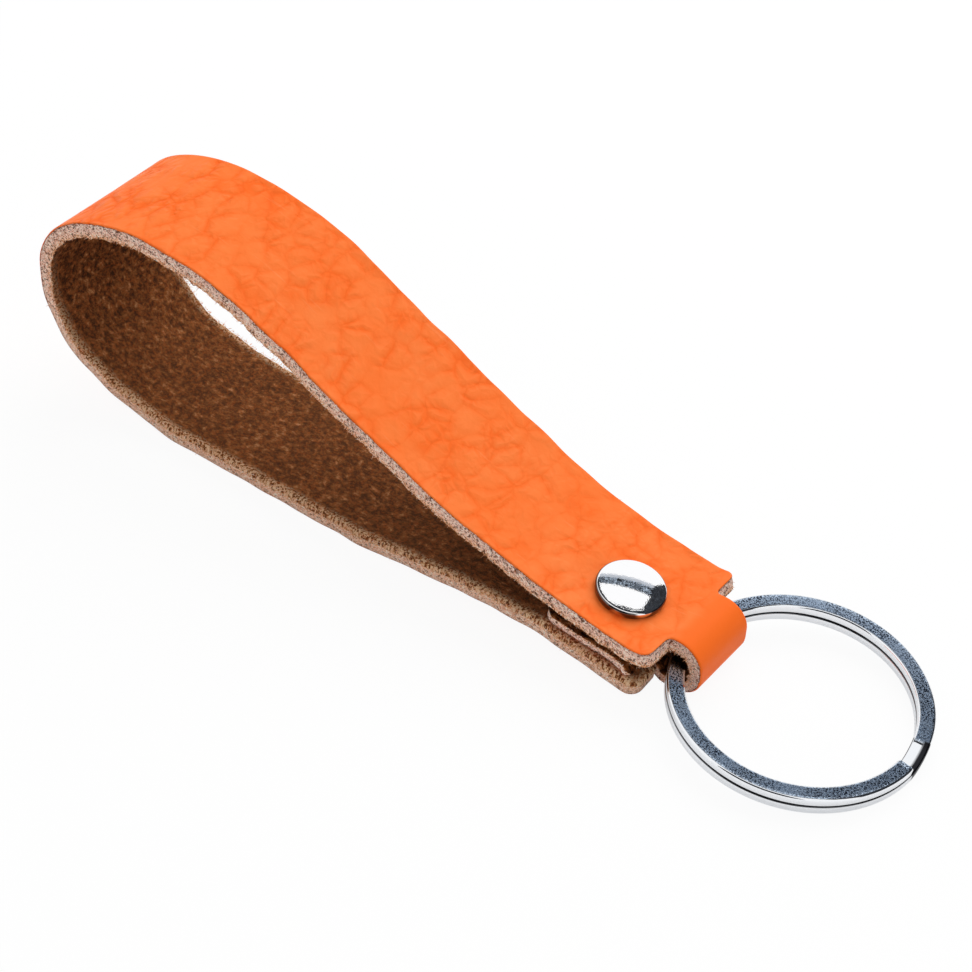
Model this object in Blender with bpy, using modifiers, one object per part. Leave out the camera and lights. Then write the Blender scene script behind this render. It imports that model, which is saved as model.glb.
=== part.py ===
"""Leather keychain: one strap folded into a hand loop, closed by a double cap rivet,
with a split ring carried in the fold of the strap's narrow neck."""

import math
from collections import namedtuple

import bmesh
import bpy
from mathutils import Vector, kdtree

# Sizes are in metres and angles in degrees

# Strap
STRAP_WIDTH = 0.018
STRAP_THICKNESS = 0.0020
TAB_THICKNESS = 0.0011
FOLD_THICKNESS = 0.00155
NECK_WIDTH = 0.00945
LAYER_GAP = 0.00055

# Hand loop in side view, from its rounded nose and from the floor
NOSE_HEIGHT = 0.016
CROWN_FROM_NOSE = 0.019
LOOP_HEIGHT = 0.0295
BACK_FROM_NOSE = 0.0485
BACK_HEIGHT = 0.020
BACK_SLOPE = 25.0
THROAT_FROM_NOSE = 0.066
THROAT_HEIGHT = 0.0123
THROAT_SLOPE = 21.0
FLAT_START = 0.024
FLAT_END = 0.046
CREST_FROM_NOSE = 0.0735
CREST_HEIGHT = 0.0021
BEND_HANDLE = 0.39

# Ends and shoulders, from the rivet along the strap
NOSE_TO_RIVET = 0.084
RIVET_FACE_HEIGHT = 0.00775
RIVET_SLOPE = 8.5
SEAT_RUN_IN = 0.0020
SEAT_RISE = 0.00012
SEAT_TURN = 4.0
RIVET_SIDE_OFFSET = 0.0020
RIVET_TO_SHOULDER = 0.0073
RIVET_TO_TAB_SHOULDER = 0.0046
RIVET_TO_LOWER_END = 0.0045
EAR_LENGTH = 0.0026
EAR_INNER_SIDE = 0.0058
EAR_OUTER_RADIUS = 0.0020
EAR_INNER_RADIUS = 0.0007
RIVET_TO_TAB_TIP = 0.0062
TAB_STRAIGHT = 0.0037
SHOULDER_RADIUS = 0.0012
NOTCH_RADIUS = 0.0008
TAB_CORNER_RADIUS = 0.0015
CUT_LEAN = 0.00003

# Double cap rivet
CAP_RADIUS = 0.0040
CAP_ROLL = 0.00045
CAP_DOME = 0.0003
CAP_WALL = 0.00025
FLANGE_THICKNESS = 0.00025
POST_RADIUS = 0.0015
POST_BORE_RADIUS = 0.00115
STUD_TIP_HEIGHT = 0.0008
FIT_GAP = 0.0003
REST_GAP = 0.00015

# Split ring
RING_DIAMETER = 0.030
WIRE_WIDTH = 0.0020
WIRE_HEIGHT = 0.00095
WIRE_CORNER = 0.00022
TURN_GAP = 0.00045
STEP_START = 14.0
STEP_END = -3.0
LOWER_TURN_END = 18.0
RING_SIDE_SHIFT = 0.00093
SWING_CLEARANCE = 0.00015
FLOOR_GAP = 0.00012

# Fits that follow from the sizes
RING_RADIUS = (RING_DIAMETER - WIRE_WIDTH) / 2
TURN_PITCH = WIRE_HEIGHT + TURN_GAP
RING_HEIGHT = TURN_PITCH + WIRE_HEIGHT
STACK = 2 * STRAP_THICKNESS + TAB_THICKNESS + 2 * LAYER_GAP
HALF_WIDTH = STRAP_WIDTH / 2
HALF_NECK = NECK_WIDTH / 2
HOLE_RADIUS = POST_RADIUS + FIT_GAP
FLANGE_RADIUS = CAP_RADIUS - CAP_WALL - FIT_GAP
CAP_SEAT = CAP_RADIUS + FIT_GAP

# The wire bows away from the neck's fold, so its middle sits off the swing axis
NECK_SPAN = HALF_NECK + RING_SIDE_SHIFT
BOW = RING_RADIUS - math.sqrt((RING_RADIUS - WIRE_WIDTH / 2) ** 2 - NECK_SPAN ** 2)
WIRE_OFFSET = (BOW - WIRE_WIDTH / 2) / 2
WIRE_REACH = math.hypot((BOW + WIRE_WIDTH / 2) / 2, RING_HEIGHT / 2)
CAVITY_RADIUS = WIRE_REACH + SWING_CLEARANCE
SHOULDER_X = NOSE_TO_RIVET + RIVET_TO_SHOULDER
TAB_SHOULDER_X = NOSE_TO_RIVET + RIVET_TO_TAB_SHOULDER
AXIS_X = SHOULDER_X + 0.44 * CAVITY_RADIUS
AXIS_Z = FLOOR_GAP + TAB_THICKNESS + CAVITY_RADIUS
FOLD_X = AXIS_X + 0.25 * CAVITY_RADIUS
FOLD_FRONT_X = AXIS_X + CAVITY_RADIUS + FOLD_THICKNESS

Knot = namedtuple("Knot", "x z heading steps thickness")
Station = namedtuple("Station", "distance place normal thickness")


def rivet_point(along, above):
    """Side-view point at a distance along the layers and above the stack's under face."""
    slope = math.radians(RIVET_SLOPE)
    foot_x = NOSE_TO_RIVET - STACK * math.sin(slope)
    foot_z = RIVET_FACE_HEIGHT - STACK * math.cos(slope)
    x = foot_x + along * math.cos(slope) + above * math.sin(slope)
    z = foot_z - along * math.sin(slope) + above * math.cos(slope)
    return x, z


def strap_knots():
    """Knots of the grain face, from the lower end round the loop and the ring to the tab."""
    thick = STRAP_THICKNESS
    end_x, end_z = rivet_point(RIVET_TO_LOWER_END, 0.0)
    seat_x, seat_z = rivet_point(-CAP_SEAT, 0.0)
    back_x, back_z = rivet_point(-CAP_SEAT, STACK)
    front_x, front_z = rivet_point(CAP_SEAT, STACK)
    run_x, run_z = rivet_point(-CAP_SEAT - SEAT_RUN_IN, STACK + SEAT_RISE)
    tab_level = STRAP_THICKNESS + LAYER_GAP
    bend_x, bend_z = rivet_point(TAB_STRAIGHT, tab_level)
    tip_x, tip_z = rivet_point(-RIVET_TO_TAB_TIP, tab_level)
    neck_z = AXIS_Z + CAVITY_RADIUS + thick
    fold_mid = (neck_z + FLOOR_GAP) / 2
    fold_drop = 0.3 * CAVITY_RADIUS
    layer_back = 180.0 - RIVET_SLOPE
    tab_back = -180.0 - RIVET_SLOPE
    return [
        Knot(end_x, end_z, layer_back, 2, thick),
        Knot(seat_x, seat_z, layer_back, 6, thick),
        Knot(CREST_FROM_NOSE, CREST_HEIGHT, 180.0, 12, thick),
        Knot(FLAT_END, 0.0, 180.0, 1, thick),
        Knot(FLAT_START, 0.0, 180.0, 16, thick),
        Knot(0.0, NOSE_HEIGHT, 90.0, 14, thick),
        Knot(CROWN_FROM_NOSE, LOOP_HEIGHT, 0.0, 12, thick),
        Knot(BACK_FROM_NOSE, BACK_HEIGHT, -BACK_SLOPE, 6, thick),
        Knot(THROAT_FROM_NOSE, THROAT_HEIGHT, -THROAT_SLOPE, 8, thick),
        Knot(run_x, run_z, -RIVET_SLOPE - SEAT_TURN, 3, thick),
        Knot(back_x, back_z, -RIVET_SLOPE, 2, thick),
        Knot(front_x, front_z, -RIVET_SLOPE, 6, thick),
        Knot(FOLD_X, neck_z, 0.0, 8, thick),
        Knot(FOLD_FRONT_X, fold_mid + fold_drop, -90.0, 2, FOLD_THICKNESS),
        Knot(FOLD_FRONT_X, fold_mid - fold_drop, -90.0, 8, FOLD_THICKNESS),
        Knot(FOLD_X, FLOOR_GAP, -180.0, 2, TAB_THICKNESS),
        Knot(AXIS_X - 0.4 * CAVITY_RADIUS, FLOOR_GAP, -180.0, 10, TAB_THICKNESS),
        Knot(bend_x, bend_z, tab_back, 3, TAB_THICKNESS),
        Knot(tip_x, tip_z, tab_back, 1, TAB_THICKNESS),
    ]


def bend(start, end):
    """Stations along one bend of the strap's grain face, its last one left out."""
    reach = math.hypot(end.x - start.x, end.z - start.z) * BEND_HANDLE
    out = math.radians(start.heading)
    back = math.radians(end.heading)
    corners = [
        Vector((start.x, start.z)),
        Vector((start.x + reach * math.cos(out), start.z + reach * math.sin(out))),
        Vector((end.x - reach * math.cos(back), end.z - reach * math.sin(back))),
        Vector((end.x, end.z)),
    ]
    points = []
    for step in range(start.steps):
        t = step / start.steps
        u = 1.0 - t
        place = (corners[0] * u ** 3 + corners[1] * 3 * u * u * t
                 + corners[2] * 3 * u * t * t + corners[3] * t ** 3)
        pace = ((corners[1] - corners[0]) * u * u + (corners[2] - corners[1]) * 2 * u * t
                + (corners[3] - corners[2]) * t * t)
        normal = Vector((-pace.y, pace.x)).normalized()
        thickness = start.thickness + (end.thickness - start.thickness) * t
        points.append(Station(0.0, place, normal, thickness))
    return points


def strap_route():
    """Stations of the whole strap, each with its distance from the lower end."""
    knots = strap_knots()
    bends = []
    for start, end in zip(knots[:-1], knots[1:]):
        bends += bend(start, end)
    last = knots[-1]
    turn = math.radians(last.heading)
    normal = Vector((-math.sin(turn), math.cos(turn)))
    bends.append(Station(0.0, Vector((last.x, last.z)), normal, last.thickness))
    route = [bends[0]]
    for station in bends[1:]:
        distance = route[-1].distance + (station.place - route[-1].place).length
        route.append(station._replace(distance=distance))
    return route


def between(first, second, distance):
    """Station at a distance between two others."""
    share = (distance - first.distance) / (second.distance - first.distance)
    return Station(distance, first.place.lerp(second.place, share),
                   first.normal.lerp(second.normal, share).normalized(),
                   first.thickness + (second.thickness - first.thickness) * share)


def station_at(route, distance):
    for first, second in zip(route[:-1], route[1:]):
        if distance <= second.distance:
            return between(first, second, distance)
    return route[-1]


def distance_at(route, x, start):
    """Distance at which the strap next passes x, from one of its stations on."""
    for first, second in zip(route[start:-1], route[start + 1:]):
        if (first.place.x - x) * (second.place.x - x) <= 0:
            share = (x - first.place.x) / (second.place.x - first.place.x)
            return first.distance + (second.distance - first.distance) * share
    return route[-1].distance


def blank_edge(route):
    """Plan of the flat strap: distance from the lower end and half width, point by point."""
    nose = min(range(len(route)), key=lambda index: route[index].place.x)
    front = max(range(len(route)), key=lambda index: route[index].place.x)
    shoulder = distance_at(route, SHOULDER_X, nose)
    tab_shoulder = distance_at(route, TAB_SHOULDER_X, front)
    length = route[-1].distance
    wide = HALF_WIDTH
    edge = [Vector((0.0, wide))]
    edge += arc(shoulder - SHOULDER_RADIUS, wide - SHOULDER_RADIUS, SHOULDER_RADIUS, 90, 0, 5)
    edge += arc(shoulder + NOTCH_RADIUS, HALF_NECK + NOTCH_RADIUS, NOTCH_RADIUS, 180, 270, 4)
    edge += arc(tab_shoulder - NOTCH_RADIUS, HALF_NECK + NOTCH_RADIUS, NOTCH_RADIUS, 270, 360, 4)
    edge += arc(tab_shoulder + SHOULDER_RADIUS, wide - SHOULDER_RADIUS, SHOULDER_RADIUS, 180, 90, 5)
    edge += arc(length - TAB_CORNER_RADIUS, wide - TAB_CORNER_RADIUS, TAB_CORNER_RADIUS, 90, 0, 5)
    for index in range(1, len(edge)):
        edge[index].x = max(edge[index].x, edge[index - 1].x + CUT_LEAN)
    excess = edge[-1].x / length
    return [Vector((point.x / excess, point.y)) for point in edge]


def arc(centre_x, centre_y, radius, start, end, steps):
    """Points on an arc between two angles, both ends included."""
    points = []
    for step in range(steps + 1):
        angle = math.radians(start + (end - start) * step / steps)
        points.append(Vector((centre_x + radius * math.cos(angle),
                              centre_y + radius * math.sin(angle))))
    return points


def make_collection(name):
    collection = bpy.data.collections.new(name)
    bpy.context.scene.collection.children.link(collection)
    return collection


def make_empty(name, collection, location=(0, 0, 0), turn=0.0, parent=None):
    """Empty whose local Y is a pin axis, turned about it in degrees."""
    empty = bpy.data.objects.new(name, None)
    empty.empty_display_size = 0.006
    empty.location = location
    empty.rotation_euler = (0.0, math.radians(turn), 0.0)
    empty.parent = parent
    collection.objects.link(empty)
    return empty


def make_material(name, colour, roughness, metallic):
    material = bpy.data.materials.new(name)
    material.use_nodes = True
    shader = material.node_tree.nodes["Principled BSDF"]
    shader.inputs["Base Color"].default_value = (*colour, 1.0)
    shader.inputs["Roughness"].default_value = roughness
    shader.inputs["Metallic"].default_value = metallic
    material.diffuse_color = (*colour, 1.0)
    return material


def poly_curve(name, points, collection, cyclic, dimensions):
    """Curve object with one straight-edged spline."""
    curve = bpy.data.curves.new(name, "CURVE")
    curve.dimensions = dimensions
    spline = curve.splines.new("POLY")
    spline.points.add(len(points) - 1)
    for slot, point in zip(spline.points, points):
        slot.co = (*point.to_3d(), 1.0)
    spline.use_cyclic_u = cyclic
    curve_object = bpy.data.objects.new(name, curve)
    collection.objects.link(curve_object)
    return curve_object


def solid_from_curve(curve_object, collection):
    """Mesh object in the curve object's place, with its caps welded on."""
    bpy.context.view_layer.update()
    name = curve_object.name
    place = curve_object.matrix_world.copy()
    evaluated = curve_object.evaluated_get(bpy.context.evaluated_depsgraph_get())
    mesh = bpy.data.meshes.new_from_object(evaluated)
    bpy.data.objects.remove(curve_object)
    shape = bmesh.new()
    shape.from_mesh(mesh)
    bmesh.ops.remove_doubles(shape, verts=shape.verts, dist=1e-6)
    bmesh.ops.recalc_face_normals(shape, faces=shape.faces)
    shape.to_mesh(mesh)
    shape.free()
    solid = bpy.data.objects.new(name, mesh)
    solid.matrix_world = place
    collection.objects.link(solid)
    return solid


def turned_solid(name, profile, collection, parent):
    """Solid of revolution about local Z from a profile of radius and height."""
    mesh = bpy.data.meshes.new(name)
    shape = bmesh.new()
    closed = profile[0] == profile[-1]
    corners = [shape.verts.new((radius, 0.0, height)) for radius, height in profile[closed:]]
    if closed:
        corners.append(corners[0])
    for first, second in zip(corners[:-1], corners[1:]):
        shape.edges.new((first, second))
    shape.to_mesh(mesh)
    shape.free()
    solid = bpy.data.objects.new(name, mesh)
    solid.parent = parent
    collection.objects.link(solid)
    screw = solid.modifiers.new("Turn", "SCREW")
    screw.axis = "Z"
    screw.steps = 40
    screw.render_steps = 40
    screw.use_merge_vertices = True
    screw.merge_threshold = 0.00001
    screw.use_smooth_shade = True
    return solid


def cut(target, cutter, guides):
    """Subtract a cutter and keep it as a hidden guide."""
    boolean = target.modifiers.new(cutter.name, "BOOLEAN")
    boolean.operation = "DIFFERENCE"
    boolean.solver = "EXACT"
    boolean.object = cutter
    cutter.hide_render = True
    cutter.display_type = "WIRE"
    for collection in list(cutter.users_collection):
        collection.objects.unlink(cutter)
    guides.objects.link(cutter)


def shade(solid, angle):
    solid.data.shade_smooth()
    solid.data.set_sharp_from_angle(angle=math.radians(angle))


def strap_sections():
    """Stations with half widths, closest together at the corners of the blank."""
    route = strap_route()
    edge = blank_edge(route)
    sections = [(station_at(route, point.x), point.y) for point in edge]
    for station in route[1:-1]:
        for first, second in zip(edge[:-1], edge[1:]):
            if first.x + CUT_LEAN < station.distance < second.x - CUT_LEAN:
                share = (station.distance - first.x) / (second.x - first.x)
                sections.append((station, first.y + (second.y - first.y) * share))
    sections.sort(key=lambda section: section[0].distance)
    print(f"strap: {len(sections)} sections, {route[-1].distance * 1000:.1f} mm on its grain face")
    return sections


def section_loop(shape, place, normal, thickness, sides):
    """Vertices round a flat section: its grain face from side to side, then its flesh face."""
    flesh = place - normal * thickness
    grain_row = [shape.verts.new((place.x, side, place.y)) for side in sides]
    flesh_row = [shape.verts.new((flesh.x, side, flesh.y)) for side in reversed(sides)]
    return grain_row + flesh_row


def join_loops(shape, first, second):
    for corner in range(4):
        after = (corner + 1) % 4
        shape.faces.new((first[corner], first[after], second[after], second[corner]))


def ear_sides(along):
    """Outer and inner side of an ear at a distance out from the strap's lower end."""
    outer = HALF_WIDTH
    past_outer = along - (EAR_LENGTH - EAR_OUTER_RADIUS)
    if past_outer > 0:
        drop = math.sqrt(max(0.0, EAR_OUTER_RADIUS ** 2 - past_outer ** 2))
        outer -= EAR_OUTER_RADIUS - drop
    inner = EAR_INNER_SIDE
    past_inner = along - (EAR_LENGTH - EAR_INNER_RADIUS)
    if past_inner > 0:
        drop = math.sqrt(max(0.0, EAR_INNER_RADIUS ** 2 - past_inner ** 2))
        inner += EAR_INNER_RADIUS - drop
    return outer, inner


def build_ear(shape, root, start, ahead, hand):
    """One rounded ear of the lower end, on a quarter of that end's section."""
    straight = EAR_LENGTH - EAR_OUTER_RADIUS
    stops = [straight + EAR_OUTER_RADIUS * math.sin(math.radians(15 * step))
             for step in range(7)]
    previous = root
    for along in stops:
        outer, inner = ear_sides(along)
        loop = section_loop(shape, start.place + ahead * along, start.normal,
                            start.thickness, [hand * outer, hand * inner])
        join_loops(shape, previous, loop)
        previous = loop
    shape.faces.new(previous)


def build_lower_end(shape, start, after, next_loop):
    """Lower end of the strap: two ears, with room between them for the tab to come up."""
    sides = [HALF_WIDTH, EAR_INNER_SIDE, -EAR_INNER_SIDE, -HALF_WIDTH]
    loop = section_loop(shape, start.place, start.normal, start.thickness, sides)
    shape.faces.new(loop[:4] + [next_loop[1], next_loop[0]])
    shape.faces.new(loop[4:] + [next_loop[3], next_loop[2]])
    shape.faces.new((loop[3], loop[4], next_loop[2], next_loop[1]))
    shape.faces.new((loop[7], loop[0], next_loop[0], next_loop[3]))
    shape.faces.new((loop[1], loop[2], loop[5], loop[6]))
    ahead = (start.place - after.place).normalized()
    build_ear(shape, [loop[0], loop[1], loop[6], loop[7]], start, ahead, 1)
    build_ear(shape, [loop[3], loop[2], loop[5], loop[4]], start, ahead, -1)


def build_strap(parts, guides, root, rivet_axis):
    """Strap as a loft of flat sections along its route, with one hole for the rivet."""
    shape = bmesh.new()
    sections = strap_sections()
    loops = []
    for station, half in sections[1:]:
        loops.append(section_loop(shape, station.place, station.normal, station.thickness,
                                  [half, -half]))
    for first, second in zip(loops[:-1], loops[1:]):
        join_loops(shape, first, second)
    shape.faces.new(loops[-1])
    build_lower_end(shape, sections[0][0], sections[1][0], loops[0])
    bmesh.ops.recalc_face_normals(shape, faces=shape.faces)
    mesh = bpy.data.meshes.new("leather_strap")
    shape.to_mesh(mesh)
    shape.free()
    strap = bpy.data.objects.new("leather_strap", mesh)
    strap.parent = root
    parts.objects.link(strap)
    bpy.ops.mesh.primitive_cylinder_add(vertices=32, radius=HOLE_RADIUS, depth=2 * STACK)
    drill = bpy.context.active_object
    drill.name = "rivet_hole"
    drill.parent = rivet_axis
    drill.location.z = STACK / 2
    cut(strap, drill, guides)
    return strap


def cap_profile():
    """Domed cap with a rolled rim, open below, from its crown to its ceiling."""
    centre_r = CAP_RADIUS - CAP_ROLL
    centre_z = CAP_ROLL * math.sin(math.radians(50))
    outer = [(centre_r * t, centre_z + CAP_ROLL + CAP_DOME * (1 - t * t))
             for t in (0.0, 0.2, 0.4, 0.6, 0.8)]
    rim = [(point.x, point.y) for point in arc(centre_r, centre_z, CAP_ROLL, 90, -50, 8)]
    inner_roll = CAP_ROLL - CAP_WALL
    lip = [(centre_r + inner_roll, 0.0)]
    inside = [(point.x, point.y) for point in arc(centre_r, centre_z, inner_roll, 0, 90, 4)]
    ceiling = [(centre_r * t, centre_z + inner_roll + CAP_DOME * (1 - t * t))
               for t in (0.8, 0.6, 0.4, 0.2, 0.0)]
    return outer + rim + lip + inside + ceiling


def build_rivet(parts, rivet_axis):
    """Two caps, and a stud pressed into a hollow post, all on the rivet's own axis."""
    top_cap = turned_solid("rivet_top_cap", cap_profile(), parts, rivet_axis)
    top_cap.location.z = STACK + REST_GAP
    bottom_cap = turned_solid("rivet_bottom_cap", cap_profile(), parts, rivet_axis)
    bottom_cap.location.z = -REST_GAP
    bottom_cap.rotation_euler = (math.radians(180), 0, 0)
    post_top = STACK - REST_GAP
    post_foot = -REST_GAP - FLANGE_THICKNESS
    post = turned_solid("rivet_post", [
        (POST_BORE_RADIUS, post_top),
        (POST_RADIUS, post_top),
        (POST_RADIUS, -REST_GAP),
        (FLANGE_RADIUS, -REST_GAP),
        (FLANGE_RADIUS, post_foot),
        (POST_BORE_RADIUS, post_foot),
        (POST_BORE_RADIUS, post_top),
    ], parts, rivet_axis)
    stud_radius = POST_BORE_RADIUS - FIT_GAP
    head_foot = STACK + REST_GAP
    stud = turned_solid("rivet_stud", [
        (0.0, head_foot + FLANGE_THICKNESS),
        (FLANGE_RADIUS, head_foot + FLANGE_THICKNESS),
        (FLANGE_RADIUS, head_foot),
        (stud_radius, head_foot),
        (stud_radius, STUD_TIP_HEIGHT + stud_radius / 2),
        (stud_radius / 2, STUD_TIP_HEIGHT),
        (0.0, STUD_TIP_HEIGHT),
    ], parts, rivet_axis)
    return top_cap, bottom_cap, post, stud


def ring_route():
    """Centre line of the ring's wire: upper turn, the step down, then the lower turn."""
    full = 360.0
    upper_end = STEP_START - full
    lower_start = STEP_END - full
    lower_end = LOWER_TURN_END - 2 * full
    stations = []
    for step in range(70):
        stations.append((STEP_END + (upper_end - STEP_END) * step / 70, 0.0))
    for step in range(8):
        share = step / 8
        stations.append((upper_end + (lower_start - upper_end) * share,
                         share * share * (3 - 2 * share)))
    for step in range(70):
        stations.append((lower_start + (lower_end - lower_start) * step / 69, 1.0))
    points = []
    for angle, drop in stations:
        turn = math.radians(angle)
        points.append(Vector((RING_RADIUS * math.cos(turn), RING_RADIUS * math.sin(turn),
                              (0.5 - drop) * TURN_PITCH)))
    return points


def wire_section():
    """Rounded flat section of the wire, across and up."""
    half_across = WIRE_WIDTH / 2 - WIRE_CORNER
    half_up = WIRE_HEIGHT / 2 - WIRE_CORNER
    section = []
    for x, y, start in ((1, 1, 0), (-1, 1, 90), (-1, -1, 180), (1, -1, 270)):
        section += arc(x * half_across, y * half_up, WIRE_CORNER, start, start + 90, 2)
    return section


def least_wire_gap(points):
    """Least distance between the wire's two turns, on points round its section."""
    section = wire_section() + [Vector((0.0, WIRE_HEIGHT / 2)), Vector((0.0, -WIRE_HEIGHT / 2))]
    skin = []
    for index, point in enumerate(points):
        outward = Vector((point.x, point.y, 0.0)).normalized()
        skin += [(index, point + outward * side.x + Vector((0, 0, side.y))) for side in section]
    tree = kdtree.KDTree(len(skin))
    for slot, (index, place) in enumerate(skin):
        tree.insert(place, slot)
    tree.balance()
    least = RING_DIAMETER
    for index, place in skin:
        for found, slot, distance in tree.find_range(place, 2 * TURN_PITCH):
            if abs(skin[slot][0] - index) > 30:
                least = min(least, distance)
    return least


def build_ring(parts, guides, ring_axis):
    """Split ring of two turns of flat wire, its plane through the swing axis."""
    route = ring_route()
    print(f"split_ring: least gap to itself {least_wire_gap(route) * 1000:.2f} mm")
    section = poly_curve("wire_section", wire_section(), guides, True, "2D")
    section.hide_render = True
    section.display_type = "WIRE"
    ring = poly_curve("split_ring", route, parts, False, "3D")
    ring.data.twist_mode = "Z_UP"
    ring.data.bevel_mode = "OBJECT"
    ring.data.bevel_object = section
    ring.data.use_fill_caps = True
    ring = solid_from_curve(ring, parts)
    ring.parent = ring_axis
    ring.location.x = RING_RADIUS - WIRE_OFFSET
    return ring


def ring_tilt():
    """Angle that lays the ring's far end on the floor."""
    reach = 2 * RING_RADIUS - WIRE_OFFSET + WIRE_WIDTH / 2 - WIRE_CORNER
    rise = RING_HEIGHT / 2 - WIRE_CORNER
    lean = math.atan2(rise, reach)
    return math.degrees(math.asin((AXIS_Z - WIRE_CORNER) / math.hypot(reach, rise)) - lean)


def world_bounds(objects):
    """Lowest and highest corner of the finished parts."""
    graph = bpy.context.evaluated_depsgraph_get()
    corners = []
    for item in objects:
        evaluated = item.evaluated_get(graph)
        mesh = evaluated.to_mesh()
        corners += [evaluated.matrix_world @ vertex.co for vertex in mesh.vertices]
        evaluated.to_mesh_clear()
    low = Vector([min(corner[axis] for corner in corners) for axis in range(3)])
    high = Vector([max(corner[axis] for corner in corners) for axis in range(3)])
    return low, high


def main():
    for item in list(bpy.data.objects):
        bpy.data.objects.remove(item, do_unlink=True)
    parts = make_collection("leather_keychain")
    guides = make_collection("leather_keychain_guides")

    root = make_empty("keychain", parts)
    foot_x, foot_z = rivet_point(0.0, 0.0)
    rivet_axis = make_empty("rivet_axis", parts, (foot_x, -RIVET_SIDE_OFFSET, foot_z),
                            RIVET_SLOPE, root)
    ring_axis = make_empty("ring_axis", parts, (AXIS_X, RING_SIDE_SHIFT, AXIS_Z),
                           ring_tilt(), root)

    strap = build_strap(parts, guides, root, rivet_axis)
    top_cap, bottom_cap, post, stud = build_rivet(parts, rivet_axis)
    ring = build_ring(parts, guides, ring_axis)

    leather = make_material("orange_leather", (0.95, 0.19, 0.035), 0.55, 0.0)
    cap_metal = make_material("polished_nickel", (0.78, 0.78, 0.79), 0.12, 1.0)
    inner_metal = make_material("plain_nickel", (0.55, 0.55, 0.56), 0.35, 1.0)
    ring_metal = make_material("ring_steel", (0.42, 0.45, 0.52), 0.22, 1.0)
    for solid, finish in ((strap, leather), (top_cap, cap_metal), (bottom_cap, cap_metal),
                          (post, inner_metal), (stud, inner_metal), (ring, ring_metal)):
        solid.data.materials.append(finish)
    shade(strap, 35)
    shade(ring, 50)

    bpy.context.view_layer.update()
    solids = [strap, top_cap, bottom_cap, post, stud, ring]
    low, high = world_bounds(solids)
    root.location = (-(low.x + high.x) / 2, -(low.y + high.y) / 2, -low.z)
    bpy.context.view_layer.update()
    low, high = world_bounds(solids)
    size = [round((b - a) * 1000, 2) for a, b in zip(low, high)]
    print(f"overall size {size} mm, origin at the middle of its foot")
    for empty in (ring_axis, rivet_axis):
        place = [round(value, 6) for value in empty.matrix_world.translation]
        print(f"{empty.name} at {place}, turned {math.degrees(empty.rotation_euler.y):.3f} degrees")
    flat = root.matrix_world @ Vector(((FLAT_START + FLAT_END) / 2, 0.0, 0.0))
    print(f"middle of the flat under face at {[round(value, 6) for value in flat]}")


main()
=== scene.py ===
# %% [markdown]
# # A leather keychain in Blender
# One strap of orange leather is folded into a hand loop and closed by a rivet, and a split
# ring hangs in the fold of its narrow neck. The solids that a machine needs are loaded as a
# fixed frame, and each visible surface is then made again, finer, in the same place.

# %% Load the frame
import math
import random
from collections import namedtuple

import bmesh
import bpy
import numpy as np
from mathutils import Matrix, Vector, noise


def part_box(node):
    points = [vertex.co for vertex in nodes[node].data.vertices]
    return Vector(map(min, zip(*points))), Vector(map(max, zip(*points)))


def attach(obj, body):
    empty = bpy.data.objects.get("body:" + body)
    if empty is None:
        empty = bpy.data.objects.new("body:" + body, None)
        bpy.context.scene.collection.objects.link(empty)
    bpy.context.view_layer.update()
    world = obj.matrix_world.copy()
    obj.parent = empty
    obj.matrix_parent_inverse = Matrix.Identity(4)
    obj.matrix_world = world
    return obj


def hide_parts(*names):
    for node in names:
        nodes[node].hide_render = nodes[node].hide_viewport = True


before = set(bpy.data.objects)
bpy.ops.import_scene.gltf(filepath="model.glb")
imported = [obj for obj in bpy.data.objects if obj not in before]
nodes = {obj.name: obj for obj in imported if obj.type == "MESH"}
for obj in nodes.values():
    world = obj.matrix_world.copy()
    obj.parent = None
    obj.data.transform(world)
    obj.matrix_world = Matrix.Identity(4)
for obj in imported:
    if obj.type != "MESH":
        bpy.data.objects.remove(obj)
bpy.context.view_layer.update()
print("CAD nodes:", ", ".join(sorted(nodes)))

# %% [markdown]
# ## Camera
# The photograph looks down on the keychain from its near side, with the hand loop at the upper
# left and the ring at the lower right. A long lens keeps it nearly free of perspective. The
# place, turn and lens come from matching known points of the strap and ring to the picture.

# %% Camera
LENS = 92.826
camera_data = bpy.data.cameras.new("camera")
camera_data.lens = LENS
camera_data.sensor_width = 36.0
camera_data.clip_start = 0.01
camera = bpy.data.objects.new("camera", camera_data)
camera.location = (0.126976, -0.178227, 0.202370)
camera.rotation_euler = [math.radians(angle) for angle in (48.3863, -2.2982, 37.2134)]
bpy.context.scene.collection.objects.link(camera)
bpy.context.scene.camera = camera
bpy.context.scene.view_settings.view_transform = "Standard"
print(f"camera: {LENS:.1f} mm lens, {camera.location.length * 1000:.0f} mm from the origin")

# %% [markdown]
# ## A small kit for materials
# Every finish here is procedural, which means that nodes compute it from a place on the
# surface. Wiring nodes by hand in code gets long, so one helper adds a node, sets its values
# and joins its inputs in a single call. Short helpers for the nodes used most rest on it.

# %% Node helper
def feed(tree, socket, value):
    """Another node's output linked to a socket, or a plain value set on it."""
    if isinstance(value, bpy.types.NodeSocket):
        tree.links.new(value, socket)
    else:
        socket.default_value = value


def add_node(tree, kind, inputs=None, **settings):
    """A node of a kind, its settings and inputs set, sockets given as inputs linked."""
    node = tree.nodes.new(kind)
    for name, value in settings.items():
        setattr(node, name, value)
    for name, value in (inputs or {}).items():
        feed(tree, node.inputs[name], value)
    return node


def set_shader(tree, shader, **values):
    """Values set on the shader's sockets, or nodes linked to them."""
    for name, value in values.items():
        feed(tree, shader.inputs[name.replace("_", " ")], value)


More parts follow.
